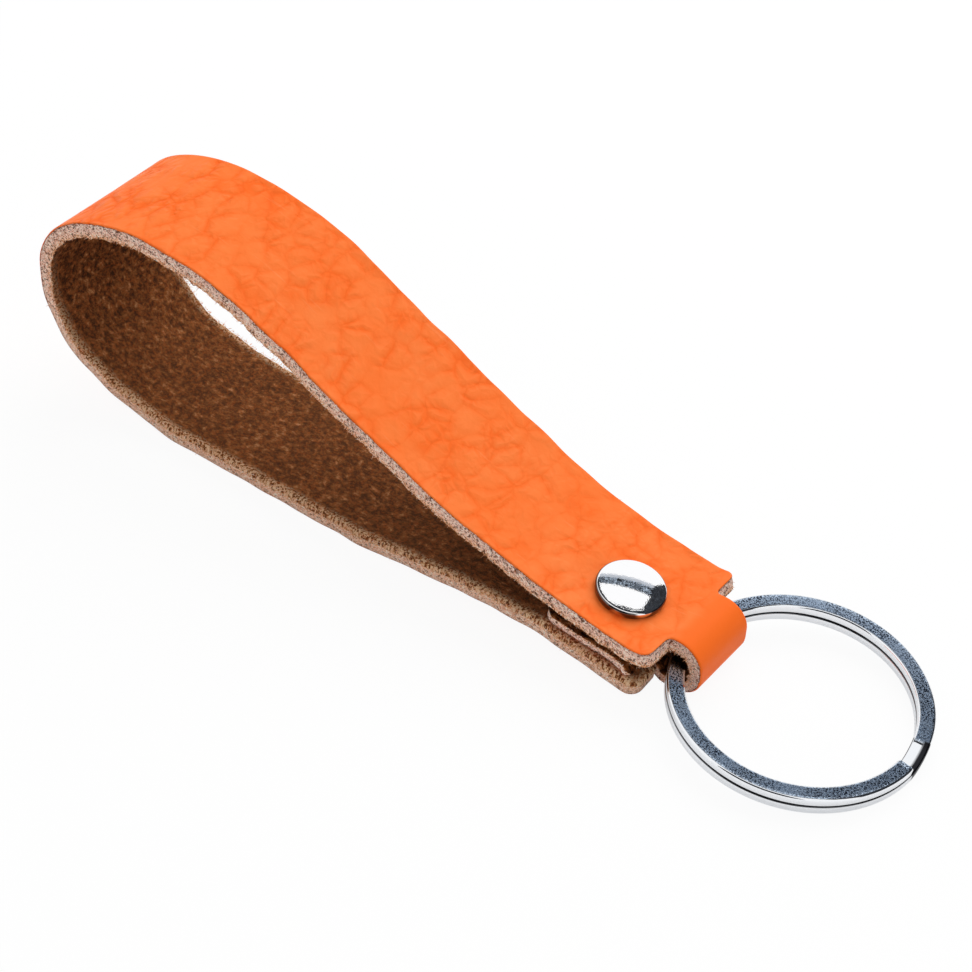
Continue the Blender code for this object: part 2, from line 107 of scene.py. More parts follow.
def new_material(name, **values):
    """Material with a Principled BSDF, its plain numbers set on the shader's own sockets."""
    material = bpy.data.materials.new(name)
    material.use_nodes = True
    tree = material.node_tree
    shader = tree.nodes["Principled BSDF"]
    set_shader(tree, shader, **values)
    return material, tree, shader


def add_ramp(tree, factor, *stops):
    """Colour ramp with stops of place and colour."""
    ramp = add_node(tree, "ShaderNodeValToRGB", {"Fac": factor})
    elements = ramp.color_ramp.elements
    while len(elements) < len(stops):
        elements.new(0.5)
    for element, (place, colour) in zip(elements, stops):
        element.position = place
        element.color = (*colour, 1.0)
    return ramp.outputs["Color"]


def mixed(tree, factor, first, second):
    """First colour where the factor is 0, second where it is 1."""
    node = add_node(tree, "ShaderNodeMix", data_type="RGBA")
    for slot, value in ((0, factor), (6, first), (7, second)):
        plain_colour = isinstance(value, (tuple, list))
        feed(tree, node.inputs[slot], (*value, 1.0) if plain_colour else value)
    return node.outputs[2]


# %% Helpers for values and places
def noise_at(tree, vector, scale, detail=2.0, roughness=0.5):
    """Smooth random value, mostly between 0.3 and 0.7."""
    node = add_node(tree, "ShaderNodeTexNoise", {"Vector": vector, "Scale": scale,
                                                 "Detail": detail, "Roughness": roughness})
    return node.outputs["Fac"]


def scaled(tree, vector, x, y, z):
    """A place on the surface, stretched or squeezed along its own axes."""
    node = add_node(tree, "ShaderNodeVectorMath", {0: vector, 1: (x, y, z)},
                    operation="MULTIPLY")
    return node.outputs["Vector"]


def ranged(tree, value, low, high, out_low=0.0, out_high=1.0):
    """A value between two limits, brought to between two others, smoothly."""
    node = add_node(tree, "ShaderNodeMapRange",
                    {"Value": value, "From Min": low, "From Max": high,
                     "To Min": out_low, "To Max": out_high},
                    interpolation_type="SMOOTHSTEP")
    return node.outputs["Result"]


def calculated(tree, operation, first, second):
    """Result of one Math node."""
    node = add_node(tree, "ShaderNodeMath", {0: first, 1: second}, operation=operation)
    return node.outputs[0]


def product(tree, first, second):
    """Both values multiplied."""
    return calculated(tree, "MULTIPLY", first, second)


def sum_of(tree, *weighted):
    """Sum of values, each with its weight."""
    total = product(tree, *weighted[0])
    for value, weight in weighted[1:]:
        node = add_node(tree, "ShaderNodeMath", {0: value, 1: weight, 2: total},
                        operation="MULTIPLY_ADD")
        total = node.outputs[0]
    return total


def kept_value(tree, name, output="Fac"):
    """A number, or with the output Vector a place, that is kept with each vertex."""
    return add_node(tree, "ShaderNodeAttribute", attribute_name=name).outputs[output]


def add_bump(tree, shader, height, distance):
    """Fine relief from a height, its full rise in metres."""
    bump = add_node(tree, "ShaderNodeBump", {"Height": height, "Distance": distance,
                                             "Strength": 1.0})
    set_shader(tree, shader, Normal=bump.outputs["Normal"])


# %% [markdown]
# ## Two helpers for meshes
# Each piece is built as loose vertices and faces and then placed in the scene. The ring's
# wire and the fibres are both tubes, which one function skins.

# %% Mesh helpers
def mesh_item(shape, name):
    """Scene object made from a bmesh, which is freed."""
    mesh = bpy.data.meshes.new(name)
    shape.to_mesh(mesh)
    shape.free()
    item = bpy.data.objects.new(name, mesh)
    bpy.context.scene.collection.objects.link(item)
    return item


def skin(shape, rings):
    """Tube over rings of vertices, open at both ends."""
    count = len(rings[0])
    for first, second in zip(rings[:-1], rings[1:]):
        for corner in range(count):
            after = (corner + 1) % count
            shape.faces.new((first[corner], first[after], second[after], second[corner]))

# %% [markdown]
# ## Shared effects
# Fine speckle shows on the ring's flat faces, on the caps and in the suede, and hairline
# scratches show on the metal and on the grain side. A node group is built once and placed in
# each material with its own scale, so that the effects match.

# %% Speckle and scratch groups
def effect_group(name, third_input, third_value, scale):
    """Shader node group with the inputs Vector, Scale and one more, and the output Mask."""
    group = bpy.data.node_groups.new(name, "ShaderNodeTree")
    group.interface.new_socket("Vector", in_out="INPUT", socket_type="NodeSocketVector")
    for socket, value in (("Scale", scale), (third_input, third_value)):
        item = group.interface.new_socket(socket, in_out="INPUT",
                                          socket_type="NodeSocketFloat")
        item.default_value = value
    group.interface.new_socket("Mask", in_out="OUTPUT", socket_type="NodeSocketFloat")
    source = group.nodes.new("NodeGroupInput")
    result = group.nodes.new("NodeGroupOutput")
    return group, source.outputs, result.inputs["Mask"]


def build_speckle():
    """Small grains at two scales, as a mask between 0 and 1."""
    group, source, mask = effect_group("fine_speckle", "Sharpness", 0.2, 5000.0)
    grains = noise_at(group, source["Vector"], source["Scale"], 4.0, 0.75)
    low = calculated(group, "SUBTRACT", 0.5, source["Sharpness"])
    high = calculated(group, "ADD", 0.5, source["Sharpness"])
    feed(group, mask, ranged(group, grains, low, high))
    return group


def build_scratches():
    """Thin lines in one direction, broken up so that each is short."""
    group, source, mask = effect_group("hairline_scratches", "Amount", 0.5, 400.0)
    place, scale = source["Vector"], source["Scale"]
    thin = ranged(group, noise_at(group, scaled(group, place, 1.0, 14.0, 1.0), scale), 0.64, 0.70)
    short = ranged(group, noise_at(group, place, scale), 0.45, 0.60)
    feed(group, mask, product(group, product(group, thin, short), source["Amount"]))
    return group


def effect(tree, group, **inputs):
    """Mask of a shared effect, placed in a material with that material's own values."""
    return add_node(tree, "ShaderNodeGroup", inputs, node_tree=group).outputs["Mask"]


SPECKLE = build_speckle()
SCRATCHES = build_scratches()
print("shared effects:", SPECKLE.name, SCRATCHES.name)

# %% [markdown]
# ## The strap's route
# The strap is one flat blank, bent. Seen from the side it is a line of straight and curved
# stretches: out from under the rivet, along the floor, round the nose, over the crown, down
# the back, under the rivet again as the top layer, and round the ring. Knots with a place and
# a heading describe that line, and a smooth curve joins them.

# %% Sizes of the strap
STRAP_WIDTH = 0.018
STRAP_THICKNESS = 0.0020
TAB_THICKNESS = 0.0011
FOLD_THICKNESS = 0.00155
NECK_WIDTH = 0.00945
LAYER_GAP = 0.00055
NOSE_HEIGHT = 0.016
CROWN = (0.019, 0.0295)
BACK = (0.0485, 0.020, 25.0)
THROAT = (0.066, 0.0123, 21.0)
FLAT_START = 0.024
FLAT_END = 0.046
CREST = (0.0735, 0.0021)
BEND_HANDLE = 0.39
NOSE_TO_RIVET = 0.084
RIVET_FACE_HEIGHT = 0.00775
RIVET_SLOPE = 8.5
RIVET_SIDE_OFFSET = 0.0020
CAP_SEAT = 0.0043
SEAT_RUN_IN = 0.0020
SEAT_RISE = 0.00012
SEAT_TURN = 4.0
RIVET_TO_LOWER_END = 0.0045
RIVET_TO_TAB_TIP = 0.0062
TAB_STRAIGHT = 0.0037
SHOULDER_X = 0.0913
TAB_SHOULDER_X = 0.0886
SHOULDER_RADIUS = 0.0012
NOTCH_RADIUS = 0.0008
EAR_LENGTH = 0.0027
EAR_INNER_SIDE = 0.00485
EAR_OUTER_RADIUS = 0.0018
EAR_INNER_RADIUS = 0.0003
EAR_STRETCH = 0.006
TAB_CORNER_RADIUS = 0.0015
TAB_SHOULDER_RADIUS = 0.0006
CUT_LEAN = 0.00003
STACK = 2 * STRAP_THICKNESS + TAB_THICKNESS + 2 * LAYER_GAP

# %% Sizes of the ring and the fold that carries it
RING_RADIUS = 0.014
WIRE_WIDTH = 0.0020
WIRE_HEIGHT = 0.00095
TURN_PITCH = 0.00140
RING_SIDE_SHIFT = 0.00093
RING_TILT = 4.5287
FLOOR_GAP = 0.00012
NECK_SPAN = NECK_WIDTH / 2 + RING_SIDE_SHIFT
BOW = RING_RADIUS - math.sqrt((RING_RADIUS - WIRE_WIDTH / 2) ** 2 - NECK_SPAN ** 2)
WIRE_OFFSET = (BOW - WIRE_WIDTH / 2) / 2
WIRE_REACH = math.hypot((BOW + WIRE_WIDTH / 2) / 2, (TURN_PITCH + WIRE_HEIGHT) / 2)
CAVITY = WIRE_REACH + 0.00015
AXIS_X = SHOULDER_X + 0.44 * CAVITY
AXIS_Z = FLOOR_GAP + TAB_THICKNESS + CAVITY
low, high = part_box("leather_strap")
PLAN_ORIGIN = Vector((low.x, (low.y + high.y) / 2, 0.0))
print(f"swing axis {AXIS_X * 1000:.2f} mm from the nose, plan origin {PLAN_ORIGIN}")


# %% Route of the grain face
Knot = namedtuple("Knot", "x z heading steps thickness")
Station = namedtuple("Station", "distance place normal thickness")


def rivet_point(along, above):
    """Side-view point at a distance along the layers and above the stack's under face."""
    slope = math.radians(RIVET_SLOPE)
    foot_x = NOSE_TO_RIVET - STACK * math.sin(slope)
    foot_z = RIVET_FACE_HEIGHT - STACK * math.cos(slope)
    return (foot_x + along * math.cos(slope) + above * math.sin(slope),
            foot_z - along * math.sin(slope) + above * math.cos(slope))


def strap_knots():
    """Knots of the grain face, from the lower end to the tab's tip."""
    thick = STRAP_THICKNESS
    tab_level = STRAP_THICKNESS + LAYER_GAP
    fold_x = AXIS_X + 0.25 * CAVITY
    front_x = AXIS_X + CAVITY + FOLD_THICKNESS
    neck_z = AXIS_Z + CAVITY + thick
    fold_mid = (neck_z + FLOOR_GAP) / 2
    back = 180.0 - RIVET_SLOPE
    return [
        Knot(*rivet_point(RIVET_TO_LOWER_END, 0.0), back, 8, thick),
        Knot(*rivet_point(-CAP_SEAT, 0.0), back, 24, thick),
        Knot(*CREST, 180.0, 40, thick),
        Knot(FLAT_END, 0.0, 180.0, 30, thick),
        Knot(FLAT_START, 0.0, 180.0, 48, thick),
        Knot(0.0, NOSE_HEIGHT, 90.0, 40, thick),
        Knot(*CROWN, 0.0, 40, thick),
        Knot(*BACK[:2], -BACK[2], 24, thick),
        Knot(*THROAT[:2], -THROAT[2], 24, thick),
        Knot(*rivet_point(-CAP_SEAT - SEAT_RUN_IN, STACK + SEAT_RISE),
             -RIVET_SLOPE - SEAT_TURN, 8, thick),
        Knot(*rivet_point(-CAP_SEAT, STACK), -RIVET_SLOPE, 12, thick),
        Knot(*rivet_point(CAP_SEAT, STACK), -RIVET_SLOPE, 18, thick),
        Knot(fold_x, neck_z, 0.0, 20, thick),
        Knot(front_x, fold_mid + 0.3 * CAVITY, -90.0, 6, FOLD_THICKNESS),
        Knot(front_x, fold_mid - 0.3 * CAVITY, -90.0, 20, FOLD_THICKNESS),
        Knot(fold_x, FLOOR_GAP, -180.0, 6, TAB_THICKNESS),
        Knot(AXIS_X - 0.4 * CAVITY, FLOOR_GAP, -180.0, 24, TAB_THICKNESS),
        Knot(*rivet_point(TAB_STRAIGHT, tab_level), -180.0 - RIVET_SLOPE, 12, TAB_THICKNESS),
        Knot(*rivet_point(-RIVET_TO_TAB_TIP, tab_level), -180.0 - RIVET_SLOPE, 1,
             TAB_THICKNESS),
    ]


def bend(start, end):
    """Stations along one bend of the grain face, its last one left out."""
    reach = math.hypot(end.x - start.x, end.z - start.z) * BEND_HANDLE
    out = math.radians(start.heading)
    back = math.radians(end.heading)
    corners = [
        Vector((start.x, start.z)),
        Vector((start.x + reach * math.cos(out), start.z + reach * math.sin(out))),
        Vector((end.x - reach * math.cos(back), end.z - reach * math.sin(back))),
        Vector((end.x, end.z)),
    ]
    points = []
    for step in range(start.steps):
        t = step / start.steps
        u = 1.0 - t
        place = (corners[0] * u ** 3 + corners[1] * 3 * u * u * t
                 + corners[2] * 3 * u * t * t + corners[3] * t ** 3)
        pace = ((corners[1] - corners[0]) * u * u + (corners[2] - corners[1]) * 2 * u * t
                + (corners[3] - corners[2]) * t * t)
        normal = Vector((-pace.y, pace.x)).normalized()
        thickness = start.thickness + (end.thickness - start.thickness) * t
        points.append(Station(0.0, place, normal, thickness))
    return points


def strap_route():
    """Stations of the whole strap, each with its distance from the lower end."""
    knots = strap_knots()
    bends = []
    for start, end in zip(knots[:-1], knots[1:]):
        bends += bend(start, end)
    last = knots[-1]
    turn = math.radians(last.heading)
    normal = Vector((-math.sin(turn), math.cos(turn)))
    bends.append(Station(0.0, Vector((last.x, last.z)), normal, last.thickness))
    route = [bends[0]]
    for station in bends[1:]:
        distance = route[-1].distance + (station.place - route[-1].place).length
        route.append(station._replace(distance=distance))
    return route


ROUTE = strap_route()
LENGTH = ROUTE[-1].distance
print(f"route: {len(ROUTE)} stations, {LENGTH * 1000:.1f} mm of leather")

# %% [markdown]
# ## The flat blank
# Before it is bent, the strap is a flat piece cut from a hide: 18 mm wide, with a narrow neck
# where the ring sits and rounded corners. Its outline is a list of points of distance along
# and half width, built from arcs. The half width between two points is a straight line. Each
# square cut leans by a hair, because two rows at the same distance would make flat faces.

# %% Outline of the blank
def arc(centre_x, centre_y, radius, start, end, steps):
    """Points on an arc between two angles, both ends included."""
    points = []
    for step in range(steps + 1):
        angle = math.radians(start + (end - start) * step / steps)
        points.append(Vector((centre_x + radius * math.cos(angle),
                              centre_y + radius * math.sin(angle))))
    return points


def distance_at(x, start):
    """Distance at which the strap next passes x, from one of its stations on."""
    for first, second in zip(ROUTE[start:-1], ROUTE[start + 1:]):
        if (first.place.x - x) * (second.place.x - x) <= 0:
            share = (x - first.place.x) / (second.place.x - first.place.x)
            return first.distance + (second.distance - first.distance) * share
    return LENGTH


NOSE = min(range(len(ROUTE)), key=lambda index: ROUTE[index].place.x)
FLAT_KNOT = min(range(NOSE), key=lambda index: abs(ROUTE[index].place.x - FLAT_START))
FRONT = max(range(len(ROUTE)), key=lambda index: ROUTE[index].place.x)
SHOULDER = distance_at(SHOULDER_X, NOSE)
TAB_SHOULDER = distance_at(TAB_SHOULDER_X, FRONT)


def blank_outline():
    """Half of the flat strap's outline: distance from the lower end, and half width."""
    wide = STRAP_WIDTH / 2
    neck = NECK_WIDTH / 2 + NOTCH_RADIUS
    tip = TAB_CORNER_RADIUS
    edge = [Vector((0.0, wide))]
    edge += arc(SHOULDER - SHOULDER_RADIUS, wide - SHOULDER_RADIUS, SHOULDER_RADIUS, 90, 0, 10)
    edge += arc(SHOULDER + NOTCH_RADIUS + CUT_LEAN, neck, NOTCH_RADIUS, 180, 270, 8)
    edge += arc(TAB_SHOULDER - NOTCH_RADIUS - CUT_LEAN, neck, NOTCH_RADIUS, 270, 360, 8)
    edge += arc(TAB_SHOULDER + TAB_SHOULDER_RADIUS, wide - TAB_SHOULDER_RADIUS,
                TAB_SHOULDER_RADIUS, 180, 90, 10)
    edge += arc(LENGTH - tip, wide - tip, tip, 90, 0, 10)
    return edge


def ear_reach(across):
    """How far the lower end reaches past its middle: two ears leave room for the tab."""
    side = abs(across)
    if side < EAR_INNER_SIDE:
        return 0.0
    reach = EAR_LENGTH
    inner = min(side - EAR_INNER_SIDE - EAR_INNER_RADIUS, 0.0)
    reach -= EAR_INNER_RADIUS - math.sqrt(max(EAR_INNER_RADIUS ** 2 - inner ** 2, 0.0))
    outer = max(side - STRAP_WIDTH / 2 + EAR_OUTER_RADIUS, 0.0)
    reach -= EAR_OUTER_RADIUS - math.sqrt(max(EAR_OUTER_RADIUS ** 2 - outer ** 2, 0.0))
    return reach


def with_ears(distance, across):
    """Distance of a grid point once the lower end is drawn out into its ears."""
    left = max(1.0 - distance / EAR_STRETCH, 0.0)
    return distance - ear_reach(across) * left * left


OUTLINE = blank_outline()
print(f"shoulders at {SHOULDER * 1000:.1f} and {TAB_SHOULDER * 1000:.1f} mm along the blank")

# %% [markdown]
# ## The strap's surface
# A grid on the blank, carried along the route, gives full control over both faces and the cut
# edge. Every vertex keeps its place on the flat blank, because leather grain belongs to the
# hide and bends with it. Rows are closest together at the cut edge, which is rounded where
# the knife pulled the grain face down.

# %% Rows and columns of the grid
def half_width(distance):
    """Half width of the blank at a distance."""
    for first, second in zip(OUTLINE[:-1], OUTLINE[1:]):
        if distance <= second.x:
            run = second.x - first.x
            share = (distance - first.x) / run if run > 1e-9 else 0.0
            return first.y + (second.y - first.y) * min(max(share, 0.0), 1.0)
    return OUTLINE[-1].y


ROW_STEP = 0.00042
EDGE_ROWS = (0.00004, 0.0001, 0.00019)


def grid_rows():
    """Distance and half width of each row: even steps, closer at each point of the outline."""
    steps = round(LENGTH / ROW_STEP)
    rows = [LENGTH * step / steps for step in range(1, steps)]
    for stop in (SHOULDER, TAB_SHOULDER):
        rows += [stop + side * gap for gap in EDGE_ROWS for side in (-1, 1)]
    for gap in EDGE_ROWS:
        rows += [gap, LENGTH - gap]
    rows = [(row, half_width(row)) for row in rows]
    previous = None
    for point in OUTLINE:
        if previous is not None and abs(point.x - previous.x) < 1.1 * CUT_LEAN:
            rows += [tuple(previous.lerp(point, step / 8)) for step in range(1, 8)]
        rows.append((point.x, point.y))
        previous = point
    rows.sort(key=lambda row: row[0])
    return rows


def rows_in_order(rows):
    """Rows without those that all but repeat the one before."""
    tidy = [rows[0]]
    for row in rows[1:]:
        if row[0] - tidy[-1][0] < 2e-6 and abs(row[1] - tidy[-1][1]) < 1e-5:
            continue
        tidy.append(row)
    return tidy


ROWS = rows_in_order(grid_rows())
COLUMNS = [1 - 0.011 * step for step in range(4)] + list(np.linspace(0.0, 0.94, 21))[::-1][:-1]
COLUMNS += [(EAR_INNER_SIDE + gap) / (STRAP_WIDTH / 2) for gap in (-0.00002, 0.00002, 0.00008)]
COLUMNS = sorted([-column for column in COLUMNS] + [0.0] + COLUMNS)
EDGE_DEPTHS = [0.08, 0.2, 0.4, 0.6, 0.8, 0.93]
print(f"grid: {len(ROWS)} rows, {len(COLUMNS)} columns")


# %% Place of one point of the blank
def smooth(value, low, high):
    """0 below low, 1 above high, and a smooth rise between."""
    share = min(max((value - low) / (high - low), 0.0), 1.0)
    return share * share * (3 - 2 * share)


LOW_EDGE_X = [0.040, 0.065, 0.074, 0.082]
LOW_EDGE_DROP = [0.0, 0.0001, -0.0001, -0.0004]
SKEW_PUSH = 0.0010
WAVER = 0.028
TWIST_X = [0.000, 0.005, 0.020, 0.035, 0.050, 0.062, 0.072, 0.080, 0.090, 0.0925, 0.096]
TWIST = [0.3, 1.05, 2.56, 3.02, 2.60, 1.22, -2.28, -2.93, -2.36, -1.2, 0.0]
DISTANCES = [station.distance for station in ROUTE]


def station_at(distance):
    """Station of the route at a distance."""
    index = int(np.searchsorted(DISTANCES, distance, side="right"))
    index = min(max(index, 1), len(ROUTE) - 1)
    first, second = ROUTE[index - 1], ROUTE[index]
    share = (distance - first.distance) / (second.distance - first.distance)
    return (first.place.lerp(second.place, share),
            first.normal.lerp(second.normal, share).normalized(),
            first.thickness + (second.thickness - first.thickness) * share)


def edge_lift(distance, place, across):
    """Rise of a point by the strap's twist, none where a cap holds it flat."""
    top_layer = smooth(distance, DISTANCES[NOSE] - 0.004, DISTANCES[NOSE] + 0.004)
    top_layer *= 1.0 - smooth(distance, SHOULDER, SHOULDER + 0.004)
    twist = math.radians(float(np.interp(place.x, TWIST_X, TWIST)))
    from_rivet = math.hypot(place.x - NOSE_TO_RIVET, across + RIVET_SIDE_OFFSET)
    free = smooth(from_rivet, CAP_SEAT, CAP_SEAT + 0.0035)
    lift = across * math.sin(twist) * free * top_layer
    low_layer = 1.0 - smooth(distance, 0.050, 0.070)
    drop = float(np.interp(place.x, LOW_EDGE_X, LOW_EDGE_DROP))
    return lift + drop * low_layer * free * smooth(-across, 0.004, 0.009)


def skew(distance, across):
    """How far the far side of the loop's lower quarter is pushed in: it is folded askew."""
    flat_end = DISTANCES[FLAT_KNOT]
    nose = DISTANCES[NOSE]
    rise = 0.3 * smooth(distance, flat_end - 0.002, flat_end + 0.003)
    rise += 0.9 * smooth(distance, flat_end + 0.0140, flat_end + 0.0200)
    fall = 1.0 - smooth(distance, nose - 0.003, nose + 0.008)
    return SKEW_PUSH * rise * fall * smooth(across, -0.003, 0.009)


def on_strap(distance, across, depth):
    """Place in the object's frame of a point of the blank, depth below the grain face."""
    place, normal, _ = station_at(distance)
    spot = place - normal * (depth + skew(distance, across))
    lift = edge_lift(distance, place, across)
    waver = noise.noise(Vector((distance * 240, 6.0 if across > 0 else 1.0, 0.5)))
    side = across * (1.0 + WAVER * waver * abs(across) / (STRAP_WIDTH / 2))
    return Vector((spot.x, side, spot.y + lift)) + PLAN_ORIGIN


# %% [markdown]
# ## Relief of the leather
# Bent leather isn't smooth. Its grain face gathers into soft cushions, most of all round the
# crown, and lies smooth over the neck, where hands have rubbed it. The larger cushions move
# the vertices, and the fine grain is left to the material.

# %% Relief
GATHERED = 0.62
MORE_AT_CROWN = 0.10
CUSHION_SINK = 0.00010
CUSHION_RISE = 0.00017
FINE_RISE = 0.00010


def cushion_depth(distance, across):
    """Depth of the grain face below its highest swellings, large and small ones together."""
    wide = noise.noise(Vector((distance * 210, across * 150, 3.7)))
    fine = noise.noise(Vector((distance * 520, across * 330, 9.1)))
    return CUSHION_SINK - CUSHION_RISE * wide - FINE_RISE * fine


def crumple(distance):
    """How strongly the grain face is gathered: most at the crown, none at the neck."""
    crown = DISTANCES[NOSE] + 0.010
    at_crown = 1.0 - smooth(abs(distance - crown), 0.012, 0.034)
    at_neck = smooth(distance, SHOULDER - 0.001, SHOULDER + 0.002)
    return (GATHERED + MORE_AT_CROWN * at_crown) * (1.0 - at_neck)


def to_outline(distances, acrosses):
    """Distance of each point of the blank from its cut edge."""
    points = np.column_stack([distances, np.abs(acrosses)])
    ear = [(-ear_reach(side), side) for side in np.linspace(EAR_INNER_SIDE, 0.009, 40)]
    corners = [(0.0, 0.0), (0.0, EAR_INNER_SIDE)] + ear
    corners += [(point.x, point.y) for point in OUTLINE] + [(LENGTH, 0.0)]
    least = np.full(len(points), 1.0)
    for first, second in zip(corners[:-1], corners[1:]):
        start = np.array(first)
        run = np.array(second) - start
        share = np.clip((points - start) @ run / max(run @ run, 1e-18), 0, 1)
        gap = np.linalg.norm(points - start - share[:, None] * run, axis=1)
        least = np.minimum(least, gap)
    return least


GRAIN_ROUND = 0.00022
FLESH_ROUND = 0.00014


def rounding(gap, radius):
    """Drop of a rounded edge at a distance in from it."""
    inside = min(gap / radius, 1.0)
    return radius * (1.0 - math.sqrt(max(0.0, 1.0 - (1.0 - inside) ** 2)))


# %% One vertex of the strap
FRINGE = 0.00034
NAP_HEIGHT = 0.00006
RAGGED_PUSH = 0.00011
CUT_INSET = 0.00003
KEPT_NUMBERS = ("cut_depth", "gather", "rim")


def flesh_depth(distance, across, gap, thickness):
    """Depth of the flesh side below the grain face: a soft nap, and a ragged fringe."""
    nap = noise.noise(Vector((distance * 1300, across * 1300, 5.0)))
    ragged = noise.noise(Vector((distance * 850, 2.0, 8.0 if across > 0 else 3.0)))
    ragged += 0.6 * noise.noise(Vector((distance * 2100, 4.0, 8.0 if across > 0 else 3.0)))
    lower = 1.0 - smooth(distance, DISTANCES[NOSE] - 0.010, DISTANCES[NOSE])
    near_edge = 1.0 - smooth(gap, 0.0002, 0.0013)
    fold = smooth(distance, SHOULDER, SHOULDER + 0.004)
    tab = smooth(distance, TAB_SHOULDER - 0.003, TAB_SHOULDER)
    hang = near_edge * max(0.45 + 0.35 * (fold - tab) + ragged, 0.0) * (1.0 - 0.5 * tab)
    hang *= smooth(abs(distance - SHOULDER), 0.0008, 0.0024)
    depth = thickness + NAP_HEIGHT * nap + FRINGE * hang * (1.0 - 0.6 * lower)
    return depth - rounding(gap, FLESH_ROUND + 0.00045 * lower)


def leather_vertex(shape, layers, distance, across, share, gap):
    """Vertex at a place on the blank, with that place kept in its attributes."""
    thickness = station_at(distance)[2]
    crumpled = crumple(distance)
    if share < 0.01:
        inner = smooth(gap, 0.0, 0.0012)
        depth = rounding(gap, GRAIN_ROUND)
        depth += inner * crumpled * cushion_depth(distance, across)
        depth = max(depth, 0.0)
    else:
        depth = share * flesh_depth(distance, across, gap, thickness)
    spot = on_strap(distance, across, depth)
    if 0.01 < share < 0.99:
        ragged = noise.noise(Vector((distance * 2600, across * 300, share * 9)))
        ragged += 0.7 * noise.noise(Vector((distance * 900, across * 300, share * 4)))
        push = RAGGED_PUSH * ragged * smooth(share, 0.05, 0.3) - CUT_INSET
        spot.y += push if across > 0 else -push
    vertex = shape.verts.new(spot)
    vertex[layers["blank"]] = (distance, across, share * thickness)
    vertex[layers["cut_depth"]] = share
    vertex[layers["gather"]] = crumpled
    vertex[layers["rim"]] = min(gap * 1000, 3.0)
    return vertex


# %% Build the strap
def strap_points():
    """Distance, across and share of thickness of every vertex, row by row."""
    loops = []
    for distance, half in ROWS:
        sides = [column * half for column in COLUMNS]
        top = [(with_ears(distance, side), side, 0.0) for side in sides]
        under = [(with_ears(distance, side), side, 1.0) for side in reversed(sides)]
        start = with_ears(distance, half)
        wall = [(start, half, depth) for depth in EDGE_DEPTHS]
        wall_back = [(start, -half, depth) for depth in reversed(EDGE_DEPTHS)]
        loops.append(top + wall + under + wall_back)
    return loops


def fill_end(shape, layers, loop, distance, half):
    """Cut end of the strap: a grid from the grain side to the flesh side."""
    columns = len(COLUMNS)
    walls = len(EDGE_DEPTHS)
    top = loop[:columns]
    under = loop[columns + walls:2 * columns + walls][::-1]
    right = loop[columns:columns + walls]
    left = loop[2 * columns + walls:][::-1]
    stacks = [[top[0]] + left + [under[0]]]
    for column in range(1, columns - 1):
        side = COLUMNS[column] * half
        start = with_ears(distance, side)
        middle = [leather_vertex(shape, layers, start, side, depth, 0.0)
                  for depth in EDGE_DEPTHS]
        stacks.append([top[column]] + middle + [under[column]])
    stacks.append([top[-1]] + right + [under[-1]])
    for first, second in zip(stacks[:-1], stacks[1:]):
        for step in range(walls + 1):
            face = shape.faces.new((first[step], second[step],
                                    second[step + 1], first[step + 1]))
            face.material_index = 1


def build_strap():
    """Strap as one closed grid, its place on the blank kept with each vertex."""
    loops = strap_points()
    flat = np.array([point for loop in loops for point in loop])
    gaps = to_outline(flat[:, 0], flat[:, 1])
    shape = bmesh.new()
    for name in KEPT_NUMBERS:
        shape.verts.layers.float.new(name)
    layers = {"blank": shape.verts.layers.float_vector.new("blank")}
    for name in KEPT_NUMBERS:
        layers[name] = shape.verts.layers.float[name]
    vertices = [leather_vertex(shape, layers, *point, gap) for point, gap in zip(flat, gaps)]
    count = len(loops[0])
    columns = len(COLUMNS)
    walls = len(EDGE_DEPTHS) + 1
    for row in range(len(loops) - 1):
        for column in range(count):
            after = (column + 1) % count
            corners = [row * count + column, row * count + after,
                       (row + 1) * count + after, (row + 1) * count + column]
            face = shape.faces.new([vertices[corner] for corner in corners])
            if column < columns - 1:
                face.material_index = 0
            elif columns + walls - 1 <= column < 2 * columns + walls - 2:
                face.material_index = 2
            else:
                face.material_index = 1
    fill_end(shape, layers, vertices[:count], *ROWS[0])
    fill_end(shape, layers, vertices[-count:], *ROWS[-1])
    bmesh.ops.recalc_face_normals(shape, faces=shape.faces)
    leather = mesh_item(shape, "strap_leather")
    leather.data.shade_smooth()
    return leather


strap = build_strap()
print(f"strap: {len(strap.data.vertices)} vertices")

# %% [markdown]
# ## Orange grain
# The grain side was dyed and sealed, so it is a bright, even orange with a soft shine. Fine
# creases join into a net of cells about 3 mm wide, and between them is a finer grain. A
# Voronoi texture that gives the distance to a cell's border draws the creases, its place
# shaken by noise so that no line is straight.

# %% Orange grain material
NET_SCALE = 350.0
FINE_NET_SCALE = 700.0


def leather_place(tree):
    """Place on the flat blank, in metres."""
    return kept_value(tree, "blank", "Vector")


def shaken(tree, vector, scale, amount):
    """A place moved a little by noise."""
    waver = add_node(tree, "ShaderNodeTexNoise", {"Vector": vector, "Scale": scale,
                                                  "Detail": 3.0})
    centred = add_node(tree, "ShaderNodeVectorMath",
                       {0: waver.outputs["Color"], 1: (0.5, 0.5, 0.5)}, operation="SUBTRACT")
    moved = add_node(tree, "ShaderNodeVectorMath",
                     {0: centred.outputs["Vector"], 1: (amount, amount, amount), 2: vector},
                     operation="MULTIPLY_ADD")
    return moved.outputs["Vector"]


def from_border(tree, vector, scale, reach, on_border, beyond):
    """One value on the borders between cells, and another from the reach on."""
    cells = add_node(tree, "ShaderNodeTexVoronoi", {"Vector": vector, "Scale": scale},
                     feature="DISTANCE_TO_EDGE")
    return ranged(tree, cells.outputs["Distance"], 0.0, reach, on_border, beyond)


